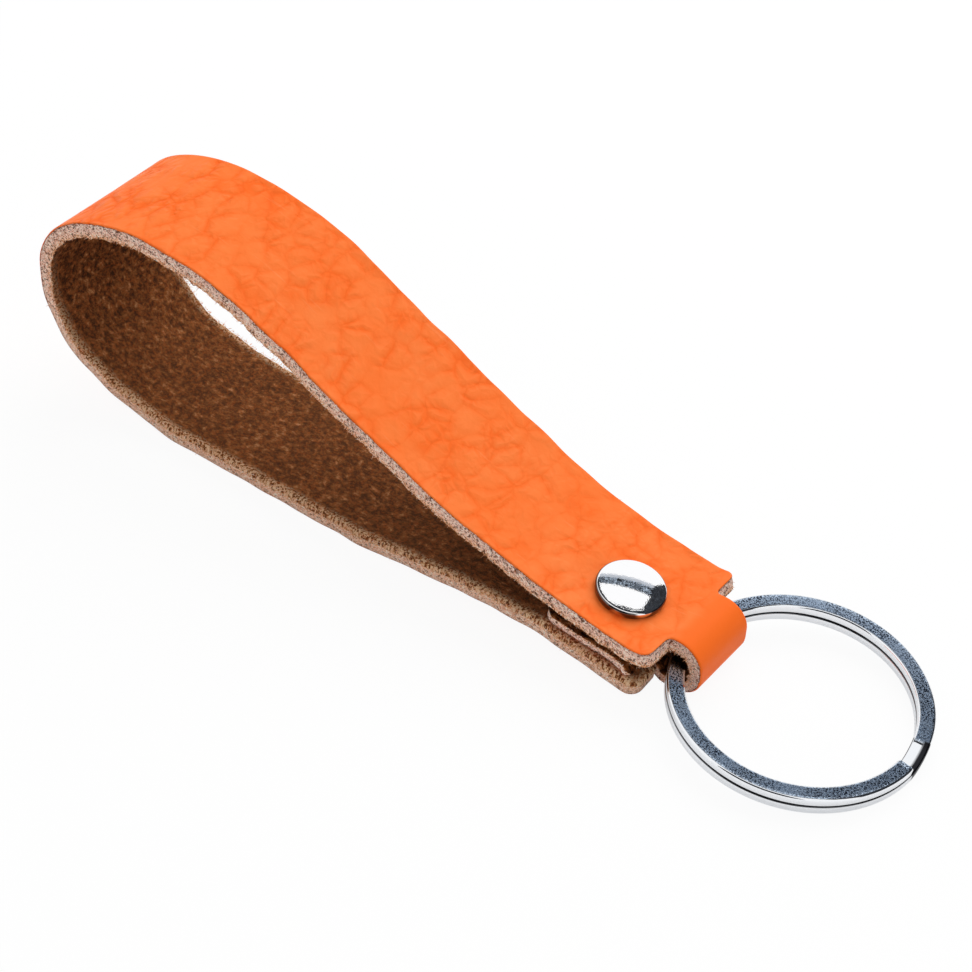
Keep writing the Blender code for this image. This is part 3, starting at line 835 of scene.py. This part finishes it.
def build_orange_grain():
    material, tree, shader = new_material("orange_grain", Specular_IOR_Level=0.11)
    blank = leather_place(tree)
    gather = kept_value(tree, "gather")
    wide_place = scaled(tree, shaken(tree, blank, 300.0, 0.0016), 1.0, 0.72, 0.4)
    fine_place = scaled(tree, shaken(tree, blank, 700.0, 0.0008), 1.0, 0.85, 1.0)
    wide = from_border(tree, wide_place, NET_SCALE, 0.42, 0.0, 1.0)
    crease = from_border(tree, wide_place, NET_SCALE, 0.150, 1.0, 0.0)
    hairline = from_border(tree, wide_place, NET_SCALE, 0.035, 1.0, 0.0)
    fine = from_border(tree, fine_place, FINE_NET_SCALE, 0.36, 0.0, 1.0)
    wrinkle = from_border(tree, fine_place, FINE_NET_SCALE, 0.190, 1.0, 0.0)
    faded = ranged(tree, noise_at(tree, blank, 190.0), 0.34, 0.62, 0.20, 1.0)
    wide_share = product(tree, faded, gather)
    hollow = product(tree, calculated(tree, "SUBTRACT", 1.0, wide), wide_share)
    patches = ranged(tree, noise_at(tree, blank, 260.0), 0.42, 0.64, 0.08, 0.60)
    fine_share = product(tree, calculated(tree, "ADD", patches, hollow), gather)
    line = product(tree, crease, wide_share)
    thin_line = product(tree, wrinkle, fine_share)
    pebbles = noise_at(tree, blank, 2600.0, 3.0, 0.6)
    colour = add_ramp(tree, noise_at(tree, blank, 110.0, 4.0), (0.30, (0.99, 0.190, 0.030)),
                      (0.52, (0.99, 0.212, 0.041)), (0.75, (0.99, 0.232, 0.052)))
    # The neck and the fold, where the grain lies smooth, are painted a deeper, darker orange:
    # painted shade.
    neck_shade = ranged(tree, gather, 0.0, 0.5, 1.0, 0.0)
    colour = mixed(tree, neck_shade, colour, (0.99, 0.160, 0.014))
    # Creases and the hollows between cushions are a deeper, darker orange: partly the grain's own
    # colour, partly painted shade.
    crease_tone_and_shade = sum_of(tree, (line, 0.38), (hollow, 0.44), (thin_line, 0.34))
    colour = mixed(tree, crease_tone_and_shade, colour, (0.97, 0.125, 0.006))
    # The hairline at the bottom of each crease is darker still: partly its own colour, partly
    # painted shade.
    deepest = sum_of(tree, (product(tree, hairline, wide_share), 0.30))
    colour = mixed(tree, deepest, colour, (0.80, 0.085, 0.004))
    scratches = effect(tree, SCRATCHES, Vector=blank, Scale=160.0, Amount=0.12)
    colour = mixed(tree, scratches, colour, (1.0, 0.38, 0.16))
    rough = calculated(tree, "ADD", 0.36,
                       sum_of(tree, (pebbles, 0.22), (line, 0.15), (gather, 0.10)))
    set_shader(tree, shader, Base_Color=colour, Roughness=rough)
    height = sum_of(tree, (product(tree, wide, wide_share), 0.60),
                    (product(tree, fine, fine_share), 0.26), (line, -0.06), (pebbles, 0.05))
    add_bump(tree, shader, height, 0.00044)
    return material

# %% [markdown]
# ## Cut edge and suede
# The knife leaves the inside of the hide bare. Under a thin orange film the edge is a band of
# pale, pinkish fibres, and towards the flesh side the dye has soaked in again. The flesh side
# is brown suede, mottled partly in its own colour and partly with painted shade and highlight
# in its nap, with orange specks where dust from the edge has settled. Velvet-like sheen stands
# in for its nap.

# %% Cut edge and suede materials
def on_lower_layer(tree, blank):
    """1 on the lower layer and round the nose, 0 on the rest of the strap."""
    along = add_node(tree, "ShaderNodeSeparateXYZ", {"Vector": blank}).outputs["X"]
    return ranged(tree, along, 0.070, 0.110, 1.0, 0.0)


def build_cut_edge():
    material, tree, shader = new_material("cut_edge", Roughness=0.9, Specular_IOR_Level=0.1)
    blank = leather_place(tree)
    fibre_place = scaled(tree, shaken(tree, blank, 900.0, 0.0006), 1.0, 1.0, 1.4)
    fibres = noise_at(tree, fibre_place, 3600.0, 3.0, 0.8)
    ragged = sum_of(tree, (fibres, 0.30), (noise_at(tree, blank, 700.0, 3.0), 0.40),
                    (kept_value(tree, "cut_depth"), 1.0))
    colour = add_ramp(tree, calculated(tree, "ADD", ragged, -0.34),
                      (0.02, (0.95, 0.16, 0.015)), (0.06, (0.30, 0.095, 0.050)),
                      (0.12, (0.80, 0.46, 0.36)), (0.45, (0.98, 0.60, 0.47)),
                      (0.70, (1.0, 0.58, 0.42)), (0.88, (1.0, 0.54, 0.31)),
                      (1.0, (0.88, 0.38, 0.16)))
    lower = on_lower_layer(tree, blank)
    colour = mixed(tree, sum_of(tree, (lower, 0.50)), colour, (0.98, 0.52, 0.28))
    # Pale tips of the raised fibres: partly their own colour, partly painted highlight.
    light = ranged(tree, fibres, 0.52, 0.58)
    colour = mixed(tree, light, colour, (1.0, 0.88, 0.76))
    # Dark pits where the fibres are lowest and in scattered holes: painted shade, less of it on
    # the lower layer.
    pits = noise_at(tree, blank, 2500.0, 2.0, 0.6)
    pit_shade = calculated(tree, "ADD", ranged(tree, fibres, 0.40, 0.46, 0.9, 0.0),
                       ranged(tree, pits, 0.37, 0.42, 0.9, 0.0))
    pit_shade = product(tree, pit_shade, ranged(tree, lower, 0.0, 1.0, 1.0, 0.65))
    colour = mixed(tree, pit_shade, colour, (0.13, 0.045, 0.022))
    set_shader(tree, shader, Base_Color=colour)
    add_bump(tree, shader, fibres, 0.00016)
    return material


def build_suede():
    material, tree, shader = new_material("brown_suede", Roughness=0.95, Sheen_Weight=0.04,
                                          Sheen_Roughness=0.5, Specular_IOR_Level=0.03,
                                          Sheen_Tint=(0.9, 0.45, 0.28, 1.0))
    blank = leather_place(tree)
    nap_place = scaled(tree, shaken(tree, blank, 500.0, 0.0012), 0.7, 1.0, 1.0)
    nap = noise_at(tree, nap_place, 1500.0, 5.0, 0.72)
    tone = sum_of(tree, (nap, 0.66), (noise_at(tree, blank, 900.0), 0.24),
                  (noise_at(tree, blank, 150.0, 3.0), 0.10))
    # Darkest where the nap is lowest and palest on its raised tufts: partly the suede's own
    # mottling, partly painted shade and highlight.
    colour = add_ramp(tree, tone, (0.43, (0.014, 0.003, 0.001)), (0.49, (0.105, 0.030, 0.008)),
                      (0.56, (0.25, 0.082, 0.023)), (0.63, (0.55, 0.24, 0.10)))
    lower = on_lower_layer(tree, blank)
    # The lower layer's suede, which faces up into the light, is painted lighter and tanner:
    # painted light.
    colour = mixed(tree, sum_of(tree, (lower, 0.20)), colour, (0.44, 0.19, 0.08))
    paler_patches = sum_of(tree, (nap, 0.9), (kept_value(tree, "rim"), 1.0))
    paler_patches = product(tree, ranged(tree, paler_patches, 0.60, 1.9, 1.0, 0.0), sum_of(tree, (lower, 0.85)))
    tan = add_ramp(tree, noise_at(tree, blank, 4200.0, 2.0, 0.6), (0.42, (0.14, 0.045, 0.016)),
                   (0.49, (0.76, 0.35, 0.15)), (0.56, (1.0, 0.70, 0.44)))
    colour = mixed(tree, paler_patches, colour, tan)
    specks = effect(tree, SPECKLE, Vector=blank, Scale=2600.0, Sharpness=0.05)
    rare = sum_of(tree, (ranged(tree, specks, 0.90, 1.0), 0.25))
    colour = mixed(tree, rare, colour, (0.62, 0.14, 0.03))
    set_shader(tree, shader, Base_Color=colour)
    add_bump(tree, shader, nap, 0.0006)
    return material


for finish in (build_orange_grain(), build_cut_edge(), build_suede()):
    strap.data.materials.append(finish)
    print("finish:", finish.name)

# %% [markdown]
# ## Hole for the rivet
# The post passes through all three layers. A Boolean with a cylinder punches the same hole as
# in the solid, and the cylinder is removed once the mesh is made.

# %% Punch the hole
HOLE_RADIUS = 0.0018
FOOT = rivet_point(0.0, 0.0)
RIVET_FRAME = Matrix.Translation(Vector((FOOT[0], -RIVET_SIDE_OFFSET, FOOT[1])) + PLAN_ORIGIN)
RIVET_FRAME = RIVET_FRAME @ Matrix.Rotation(math.radians(RIVET_SLOPE), 4, "Y")


def punch(target):
    """Hole through the target along the rivet's axis."""
    shape = bmesh.new()
    bmesh.ops.create_cone(shape, cap_ends=True, segments=48, radius1=HOLE_RADIUS,
                          radius2=HOLE_RADIUS, depth=3 * STACK)
    drill = mesh_item(shape, "drill")
    drill.matrix_world = RIVET_FRAME @ Matrix.Translation((0, 0, STACK / 2))
    hole = target.modifiers.new("hole", "BOOLEAN")
    hole.operation = "DIFFERENCE"
    hole.solver = "EXACT"
    hole.object = drill
    bpy.context.view_layer.update()
    graph = bpy.context.evaluated_depsgraph_get()
    punched = bpy.data.meshes.new_from_object(target.evaluated_get(graph))
    target.modifiers.clear()
    target.data = punched
    bpy.data.objects.remove(drill)


before = len(strap.data.polygons)
punch(strap)
print(f"hole punched: {before} faces before, {len(strap.data.polygons)} after")
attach(strap, "strap")
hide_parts("leather_strap")

# %% [markdown]
# ## Loose fibres
# A cut leather edge is never clean: short fibres stand out of it everywhere. Each is a thin
# tapered thread with a bend in it. They are one mesh, because hundreds of separate objects
# would be slow to handle.

# %% Fibres
FIBRE_COUNT = 6500
FIBRE_RADII = (0.000020, 0.000060)
FIBRE_LENGTHS = (0.00010, 0.00030)
LONG_SHARE = 0.06


def thread(shape, points, radius, blank, place):
    """Tapered three-sided tube along some points."""
    rings = []
    for index, point in enumerate(points):
        ahead = points[min(index + 1, len(points) - 1)] - points[max(index - 1, 0)]
        side = ahead.orthogonal().normalized()
        other = ahead.cross(side).normalized()
        size = radius * (1.0 - 0.75 * index / (len(points) - 1))
        corners = []
        for step in range(3):
            angle = 2 * math.pi * step / 3
            vertex = shape.verts.new(point + (side * math.cos(angle)
                                              + other * math.sin(angle)) * size)
            vertex[blank] = place
            corners.append(vertex)
        rings.append(corners)
    skin(shape, rings)
    shape.faces.new(rings[-1])
    shape.faces.new(reversed(rings[0]))


def build_fibres():
    """Fibres along both long edges, most of them near the flesh side."""
    chance = random.Random(7)
    shape = bmesh.new()
    blank = shape.verts.layers.float_vector.new("blank")
    for _ in range(FIBRE_COUNT):
        distance = chance.uniform(0.002, LENGTH - 0.002)
        share = min(max(chance.gauss(0.82, 0.28), 0.15), 1.0)
        side = chance.choice((-1, 1))
        across = side * half_width(distance)
        thickness = station_at(distance)[2]
        start = on_strap(distance, across - side * 0.00005, share * thickness * 0.97)
        on_edge = on_strap(distance, across, 0.0)
        down = on_strap(distance, across, thickness) - on_edge
        ahead = on_strap(distance + 0.0005, across, 0.0) - on_edge
        out = Vector((0, side, 0)) + down.normalized() * chance.gauss(0.3, 0.4)
        out += ahead.normalized() * chance.gauss(0.0, 0.7)
        out.normalize()
        curl = Vector((chance.gauss(0, 1), chance.gauss(0, 1), chance.gauss(0, 1))) * 0.35
        reach = chance.uniform(*FIBRE_LENGTHS)
        if chance.random() < LONG_SHARE:
            reach *= 2.0
        points = [start + out * reach * t + curl * reach * t * t for t in (0.0, 0.55, 1.0)]
        if min(point.z for point in points) < 0.00002:
            continue
        thread(shape, points, chance.uniform(*FIBRE_RADII), blank,
               (distance, across, share * thickness))
    return mesh_item(shape, "edge_fibres")


def build_fibre_material():
    material, tree, shader = new_material("edge_fibre", Roughness=0.8)
    tone = noise_at(tree, leather_place(tree), 3000.0)
    colour = add_ramp(tree, tone, (0.38, (0.55, 0.16, 0.045)), (0.50, (0.86, 0.44, 0.24)),
                      (0.60, (0.97, 0.76, 0.62)))
    set_shader(tree, shader, Base_Color=colour)
    return material


fibres = build_fibres()
fibres.data.materials.append(build_fibre_material())
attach(fibres, "strap")
print(f"fibres: {len(fibres.data.polygons)} faces")

# %% [markdown]
# ## Rivet caps
# Each cap is pressed from thin sheet: a shallow dome that curves down over a tight edge to a
# short skirt. A round part is quickest as a profile turned about its axis. The second cap is
# the same shape turned over, under the strap.

# %% Turned caps
CAP_CROWN = 0.00045 * math.sin(math.radians(50)) + 0.00045 + 0.0003
REST_GAP = 0.00010
DRESSED_CAP_RADIUS = 0.00412
CAP_EDGE = 0.00034
CAP_FALL = 0.00034
CAP_SHEET = 0.00020
CAP_SEGMENTS = 96


def cap_profile():
    """Radius and height of the cap's section, from its crown round the rim to its ceiling."""
    edge_r = DRESSED_CAP_RADIUS - CAP_EDGE
    edge_z = CAP_CROWN - CAP_FALL - CAP_EDGE
    dome = [(edge_r * step / 24, CAP_CROWN - CAP_FALL * (step / 24) ** 2) for step in range(24)]
    rim = [tuple(point) for point in arc(edge_r, edge_z, CAP_EDGE, 78, 0, 14)]
    skirt = [(DRESSED_CAP_RADIUS - 0.00003, -0.00006), (DRESSED_CAP_RADIUS - 0.00016, -0.00010),
             (DRESSED_CAP_RADIUS - 0.00024, 0.0)]
    inside = [tuple(point) for point in arc(edge_r, edge_z, CAP_EDGE - CAP_SHEET, 0, 84, 6)]
    ceiling = [(edge_r * share, CAP_CROWN - 0.00022 - CAP_FALL * share ** 2)
               for share in (0.75, 0.5, 0.25, 0.0)]
    return dome + rim + skirt + inside + ceiling


def turned(name, profile, segments, frame_matrix):
    """Closed surface of a profile turned about local Z, its height kept with each vertex."""
    shape = bmesh.new()
    kept_height = shape.verts.layers.float.new("height")
    rings = []
    for radius, height in profile:
        if radius < 1e-9:
            rings.append([shape.verts.new((0, 0, height))])
            continue
        turns = [2 * math.pi * step / segments for step in range(segments)]
        rings.append([shape.verts.new((radius * math.cos(turn), radius * math.sin(turn), height))
                      for turn in turns])
    for first, second in zip(rings[:-1], rings[1:]):
        for step in range(segments):
            after = (step + 1) % segments
            corners = [first[step % len(first)], first[after % len(first)],
                       second[after % len(second)], second[step % len(second)]]
            shape.faces.new(list(dict.fromkeys(corners)))
    for vertex in shape.verts:
        vertex[kept_height] = vertex.co.z * 1000
    bmesh.ops.recalc_face_normals(shape, faces=shape.faces)
    bmesh.ops.transform(shape, matrix=frame_matrix, verts=shape.verts)
    item = mesh_item(shape, name)
    item.data.shade_smooth()
    return item

# %% [markdown]
# ## Nickel
# Nickel plate is nearly white and mirrors what is round it, so most of its look comes from
# the boards round the scene. Very shallow dimples, a fine speckle in its roughness and a few
# hairline scratches keep the mirror from looking computed. The lower curve of the caps' rims
# and their skirts, which lie against the leather, are painted dark in patches: painted shade.

# %% Nickel material
def build_nickel(name, tone, rough, has_skirt_shade):
    material, tree, shader = new_material(name, Metallic=1.0)
    place = add_node(tree, "ShaderNodeTexCoord").outputs["Object"]
    specks = effect(tree, SPECKLE, Vector=place, Scale=3200.0, Sharpness=0.22)
    scratches = effect(tree, SCRATCHES, Vector=place, Scale=700.0, Amount=0.8)
    colour = mixed(tree, sum_of(tree, (scratches, 0.10)), tone, [part * 0.7 for part in tone])
    if has_skirt_shade:
        # Painted shade: the rim's lower curve and the skirt turn dark brown in patches, for the
        # contact shadow and the rim's underside.
        skirt = ranged(tree, kept_value(tree, "height"), 0.67, 0.745, 1.0, 0.0)
        patches = ranged(tree, noise_at(tree, place, 260.0, 0.0), 0.50, 0.56, 1.0, 0.1)
        colour = mixed(tree, product(tree, skirt, patches), colour, (0.12, 0.09, 0.08))
    roughness = calculated(tree, "ADD", sum_of(tree, (specks, 0.03), (scratches, 0.08)), rough)
    set_shader(tree, shader, Base_Color=colour, Roughness=roughness)
    dimples = noise_at(tree, place, 7000.0, 0.0)
    add_bump(tree, shader, sum_of(tree, (dimples, 1.0), (scratches, -0.1)), 0.0000018)
    return material


CAP_NICKEL = build_nickel("cap_nickel", (0.98, 0.98, 0.99), 0.02, True)
PLAIN_NICKEL = build_nickel("inner_nickel", (0.55, 0.55, 0.56), 0.30, False)
top_frame = RIVET_FRAME @ Matrix.Translation((0.00005, 0.0003, STACK + REST_GAP))
bottom_frame = RIVET_FRAME @ Matrix.Translation((0, 0, -REST_GAP))
bottom_frame = bottom_frame @ Matrix.Rotation(math.pi, 4, "X")
for name, node, place in (("top_cap", "rivet_top_cap", top_frame),
                          ("under_cap", "rivet_bottom_cap", bottom_frame)):
    cap = turned(name, cap_profile(), CAP_SEGMENTS, place)
    cap.data.materials.append(CAP_NICKEL)
    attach(cap, "strap")
    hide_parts(node)
    print(f"{name}: {len(cap.data.polygons)} faces")
for name in ("rivet_post", "rivet_stud"):
    for slot in nodes[name].material_slots:
        slot.material = PLAIN_NICKEL

# %% [markdown]
# ## Split ring
# The ring is one flat wire wound into two turns, so a key can be threaded between them. On
# one side the upper turn steps down to become the lower one. A section swept along a spiral
# route makes it, and each vertex keeps whether it lies on a flat face or a rounded shoulder.

# %% Ring route and section
STEP_START = 14.0
STEP_END = -3.0
LOWER_TURN_END = 18.0
TURN_STATIONS = 230
STEP_STATIONS = 24
WIRE_CORNER = 0.00026
DRESSED_HEIGHT = 0.00113
DRESSED_PITCH = TURN_PITCH + WIRE_HEIGHT - DRESSED_HEIGHT
FLAT_PLACES = (0.00040, 0.00025, 0.00010, -0.00030, -0.00055)
END_BEVEL = 0.00008


def ring_route():
    """Angle and drop of each station of the wire: upper turn, step, lower turn."""
    upper_end = STEP_START - 360.0
    lower_start = STEP_END - 360.0
    lower_end = LOWER_TURN_END - 720.0
    route = [(STEP_END + (upper_end - STEP_END) * step / TURN_STATIONS, 0.0)
             for step in range(TURN_STATIONS)]
    for step in range(STEP_STATIONS):
        share = step / STEP_STATIONS
        route.append((upper_end + (lower_start - upper_end) * share,
                      share * share * (3 - 2 * share)))
    route += [(lower_start + (lower_end - lower_start) * step / TURN_STATIONS, 1.0)
              for step in range(TURN_STATIONS + 1)]
    return route


def wire_section():
    """Points of the wire's section: four rounded corners, with more points on the flats."""
    across = WIRE_WIDTH / 2 - WIRE_CORNER
    up = DRESSED_HEIGHT / 2 - WIRE_CORNER
    section = []
    for x, y, start in ((1, 1, 0), (-1, 1, 90), (-1, -1, 180), (1, -1, 270)):
        section += [tuple(point)
                    for point in arc(x * across, y * up, WIRE_CORNER, start, start + 90, 6)]
        if x == y:
            section += [(x * place, y * DRESSED_HEIGHT / 2) for place in FLAT_PLACES]
    return section


def crevice_shade(x, y, drop):
    """Painted shade: 1 where the wire faces its other turn, or is in the step's own shadow."""
    if 0.0 < drop < 1.0:
        return max(smooth(x, 0.00020, 0.00030), smooth(-x, 0.00085, 0.00095),
                   smooth(drop, 0.96, 0.985))
    facing = -y if drop == 0.0 else y
    return smooth(facing, DRESSED_HEIGHT / 2 - 0.00020, DRESSED_HEIGHT / 2 - 0.00006)


def on_flat(x, drop):
    """1 on the wire's flat faces, 0 on its rounded corners and in the step."""
    inner = 1.0 - smooth(abs(x), WIRE_WIDTH / 2 - 0.00027, WIRE_WIDTH / 2 - 0.00017)
    return inner * (1.0 - smooth(min(drop, 1.0 - drop), 0.0, 0.06))


RING_AXIS = Vector((AXIS_X, RING_SIDE_SHIFT, AXIS_Z)) + PLAN_ORIGIN
RING_FRAME = Matrix.Translation(RING_AXIS) @ Matrix.Rotation(math.radians(RING_TILT), 4, "Y")
RING_FRAME = RING_FRAME @ Matrix.Translation((RING_RADIUS - WIRE_OFFSET, 0, 0))
print(f"ring: {len(ring_route())} stations, {len(wire_section())} points in the section")


# %% Build the ring
def build_ring():
    """Ring of two turns, its place along and across the wire kept with each vertex."""
    shape = bmesh.new()
    shape.verts.layers.float_vector.new("wire_place")
    shape.verts.layers.float.new("flat_face")
    shape.verts.layers.float.new("crevice_shade")
    wire_place = shape.verts.layers.float_vector["wire_place"]
    flat_face = shape.verts.layers.float["flat_face"]
    between = shape.verts.layers.float["crevice_shade"]
    section = wire_section()
    rings = []
    route = ring_route()
    for index, (angle, drop) in enumerate(route):
        turn = math.radians(angle)
        outward = Vector((math.cos(turn), math.sin(turn), 0.0))
        centre = outward * RING_RADIUS + Vector((0, 0, (0.5 - drop) * DRESSED_PITCH))
        bevel = END_BEVEL if index in (0, len(route) - 1) else 0.0
        corners = []
        for x, y in section:
            x -= math.copysign(bevel, x)
            y -= math.copysign(bevel, y)
            vertex = shape.verts.new(centre + outward * x + Vector((0, 0, y)))
            vertex[wire_place] = (turn * RING_RADIUS, x, y)
            vertex[flat_face] = on_flat(x, drop)
            vertex[between] = crevice_shade(x, y, drop)
            corners.append(vertex)
        rings.append(corners)
    skin(shape, rings)
    shape.faces.new(rings[0])
    shape.faces.new(rings[-1])
    bmesh.ops.recalc_face_normals(shape, faces=shape.faces)
    bmesh.ops.transform(shape, matrix=RING_FRAME, verts=shape.verts)
    item = mesh_item(shape, "ring_wire")
    item.data.shade_smooth()
    item.data.set_sharp_from_angle(angle=math.radians(50))
    return item

# %% [markdown]
# ## Ring steel
# The wire was tumbled after rolling, which leaves its rounded corners bright and a fine
# blue-grey speckle on its flat faces. The flat faces are painted dark as well, a painted
# reflection of a dark room that keeps them dark under any light. The kept number for flat
# faces mixes the two, and the one for the crevice between the turns makes it nearly black:
# painted shade.

# %% Ring steel material
def build_ring_steel():
    material, tree, shader = new_material("ring_steel_dressed", Metallic=1.0)
    place = kept_value(tree, "wire_place", "Vector")
    flat_face = kept_value(tree, "flat_face")
    crevice = kept_value(tree, "crevice_shade")
    specks = effect(tree, SPECKLE, Vector=place, Scale=5000.0, Sharpness=0.03)
    scratches = effect(tree, SCRATCHES, Vector=place, Scale=500.0, Amount=0.6)
    # The flat faces' near-black base with blue-grey specks and paler patches is a painted
    # reflection of a dark room.
    paler_patches = ranged(tree, noise_at(tree, place, 160.0), 0.42, 0.68, 0.0, 0.45)
    flats_painted_dark = mixed(tree, specks, (0.02, 0.03, 0.055), (0.58, 0.70, 0.86))
    flats_painted_dark = mixed(tree, paler_patches, flats_painted_dark, (0.50, 0.62, 0.78))
    bright = mixed(tree, sum_of(tree, (specks, 0.06)), (0.90, 0.92, 0.95), (0.60, 0.64, 0.70))
    colour = mixed(tree, flat_face, bright, flats_painted_dark)
    # Painted shade: the crevice between the turns and the step's own shadow are nearly black.
    colour = mixed(tree, crevice, colour, (0.03, 0.03, 0.035))
    roughness = calculated(tree, "ADD", 0.04, sum_of(
        tree, (flat_face, 0.03), (specks, 0.03), (scratches, 0.06), (crevice, 0.3)))
    set_shader(tree, shader, Base_Color=colour, Roughness=roughness)
    add_bump(tree, shader, product(tree, specks, flat_face), 0.000003)
    return material


ring = build_ring()
ring.data.materials.append(build_ring_steel())
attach(ring, "ring")
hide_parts("split_ring")
print(f"ring: {len(ring.data.polygons)} faces")

# %% [markdown]
# ## Floor and light
# The keychain was photographed on plain white paper in soft light. The floor shows white to
# the camera and keeps a part of the shadow. The world and one large, soft lamp light every
# surface evenly. Polished metal shows a room, so dark boards that only reflections see stand
# round a white window, and a grey one softens the foot of the dark stripe across it.

# %% Floor
def build_floor():
    shape = bmesh.new()
    bmesh.ops.create_grid(shape, x_segments=1, y_segments=1, size=1.5)
    floor = mesh_item(shape, "floor")
    floor.location.z = -0.00003
    material, tree, shader = new_material("white_paper", Roughness=0.9,
                                          Base_Color=(0.95, 0.95, 0.95, 1.0))
    rays = add_node(tree, "ShaderNodeLightPath")
    share = sum_of(tree, (rays.outputs["Is Camera Ray"], 0.93),
                   (rays.outputs["Is Glossy Ray"], 0.40))
    glow = add_node(tree, "ShaderNodeEmission", {"Color": (1, 1, 1, 1), "Strength": 1.0})
    mix = add_node(tree, "ShaderNodeMixShader", {0: share,
                                                 1: shader.outputs[0], 2: glow.outputs[0]})
    feed(tree, tree.nodes["Material Output"].inputs["Surface"], mix.outputs[0])
    floor.data.materials.append(material)


build_floor()

# %% World and lamps
LIGHTING = 0.62
REFLECTED = 1.0


def build_world():
    """White all round, less strong as light than where the camera or a mirror sees it."""
    world = bpy.data.worlds.new("studio")
    bpy.context.scene.world = world
    world.use_nodes = True
    tree = world.node_tree
    sky = tree.nodes["Background"]
    sky.inputs["Color"].default_value = (1, 1, 1, 1)
    rays = add_node(tree, "ShaderNodeLightPath")
    seen = calculated(tree, "MAXIMUM", rays.outputs["Is Camera Ray"],
                      rays.outputs["Is Glossy Ray"])
    feed(tree, sky.inputs["Strength"], ranged(tree, seen, 0.0, 1.0, LIGHTING, REFLECTED))


def add_lamp(name, place, target, size, power):
    """Soft square lamp that points at a target."""
    data = bpy.data.lights.new(name, "AREA")
    data.shape = "SQUARE"
    data.size = size
    data.energy = power
    lamp = bpy.data.objects.new(name, data)
    lamp.location = place
    lamp.rotation_euler = (Vector(target) - Vector(place)).to_track_quat("-Z", "Y").to_euler()
    lamp.visible_glossy = False
    bpy.context.scene.collection.objects.link(lamp)


build_world()
add_lamp("key_lamp", (-0.05, 0.42, 0.46), (0, 0, 0), 0.60, 2.9)

# %% Dark boards for the metal to reflect
BOARD_DISTANCE = 1.2
DARK = (0.012, 0.013, 0.017)
GREY = (0.50, 0.53, 0.58)
GLINT = (0.55, 0.66, 0.80)
FAINT_GLINTS = 0.08
BOARDS = {
    "stripe_board": ([(128.5, 50.0), (89.0, 44.2), (84.0, 50.5), (128.5, 55.2)], DARK),
    "stripe_fade": ([(128.5, 47.2), (90.5, 41.8), (89.0, 44.2), (128.5, 50.0)], GREY),
    "right_board": ([(90.8, 43.5), (89.6, 37.5), (86.0, 30.0), (72.0, 0.0), (-8.0, 0.0),
                     (0.0, 64.0), (40.0, 66.0), (75.6, 61.2), (84.0, 51.5)], DARK),
    "left_board": ([(127.5, 49.5), (127.0, 60.0), (160.0, 66.0), (155.0, 48.0)], DARK),
    "upper_left_board": ([(127.0, 60.0), (117.4, 68.3), (140.0, 76.5), (160.0, 66.0)], DARK),
    "upper_board": ([(117.4, 68.3), (104.6, 70.0), (95.0, 76.5), (140.0, 76.5)], DARK),
    "upper_right_board": ([(104.6, 70.0), (80.5, 66.3), (60.0, 75.0), (95.0, 76.5)], DARK),
    "corner_board": ([(80.5, 66.3), (75.6, 61.2), (40.0, 66.0), (60.0, 75.0)], DARK),
    "front_board": ([(-45.0, 4.0), (-110.0, 4.0), (-104.0, 68.0), (-45.0, 68.0)], DARK),
}


def build_board(name, corners, tone, glint_amount):
    """Glowing board that only reflections see, a painted reflection, its corners at an azimuth
    and elevation each.
    """
    shape = bmesh.new()
    places = []
    for azimuth, elevation in corners:
        turn, rise = math.radians(azimuth), math.radians(elevation)
        aim = Vector((math.cos(rise) * math.cos(turn), math.cos(rise) * math.sin(turn),
                      math.sin(rise)))
        places.append(shape.verts.new(aim * BOARD_DISTANCE))
    shape.faces.new(places)
    board = mesh_item(shape, name)
    material, tree, shader = new_material(name + "_glow", Roughness=1.0, Emission_Strength=1.0,
                                          Base_Color=(0, 0, 0, 1.0))
    place = add_node(tree, "ShaderNodeTexCoord").outputs["Object"]
    # Blue-white painted glints mottle the glow, fully on the stripe board and faintly on the
    # rest.
    glint = ranged(tree, noise_at(tree, place, 62.0, 1.0), 0.54, 0.61, 0.0, glint_amount)
    set_shader(tree, shader, Emission_Color=mixed(tree, glint, tone, GLINT))
    board.data.materials.append(material)
    board.visible_camera = False
    board.visible_diffuse = False
    board.visible_shadow = False


for name, (corners, tone) in BOARDS.items():
    build_board(name, corners, tone, 1.0 if name == "stripe_board" else FAINT_GLINTS)
print(f"boards: {len(BOARDS)}")
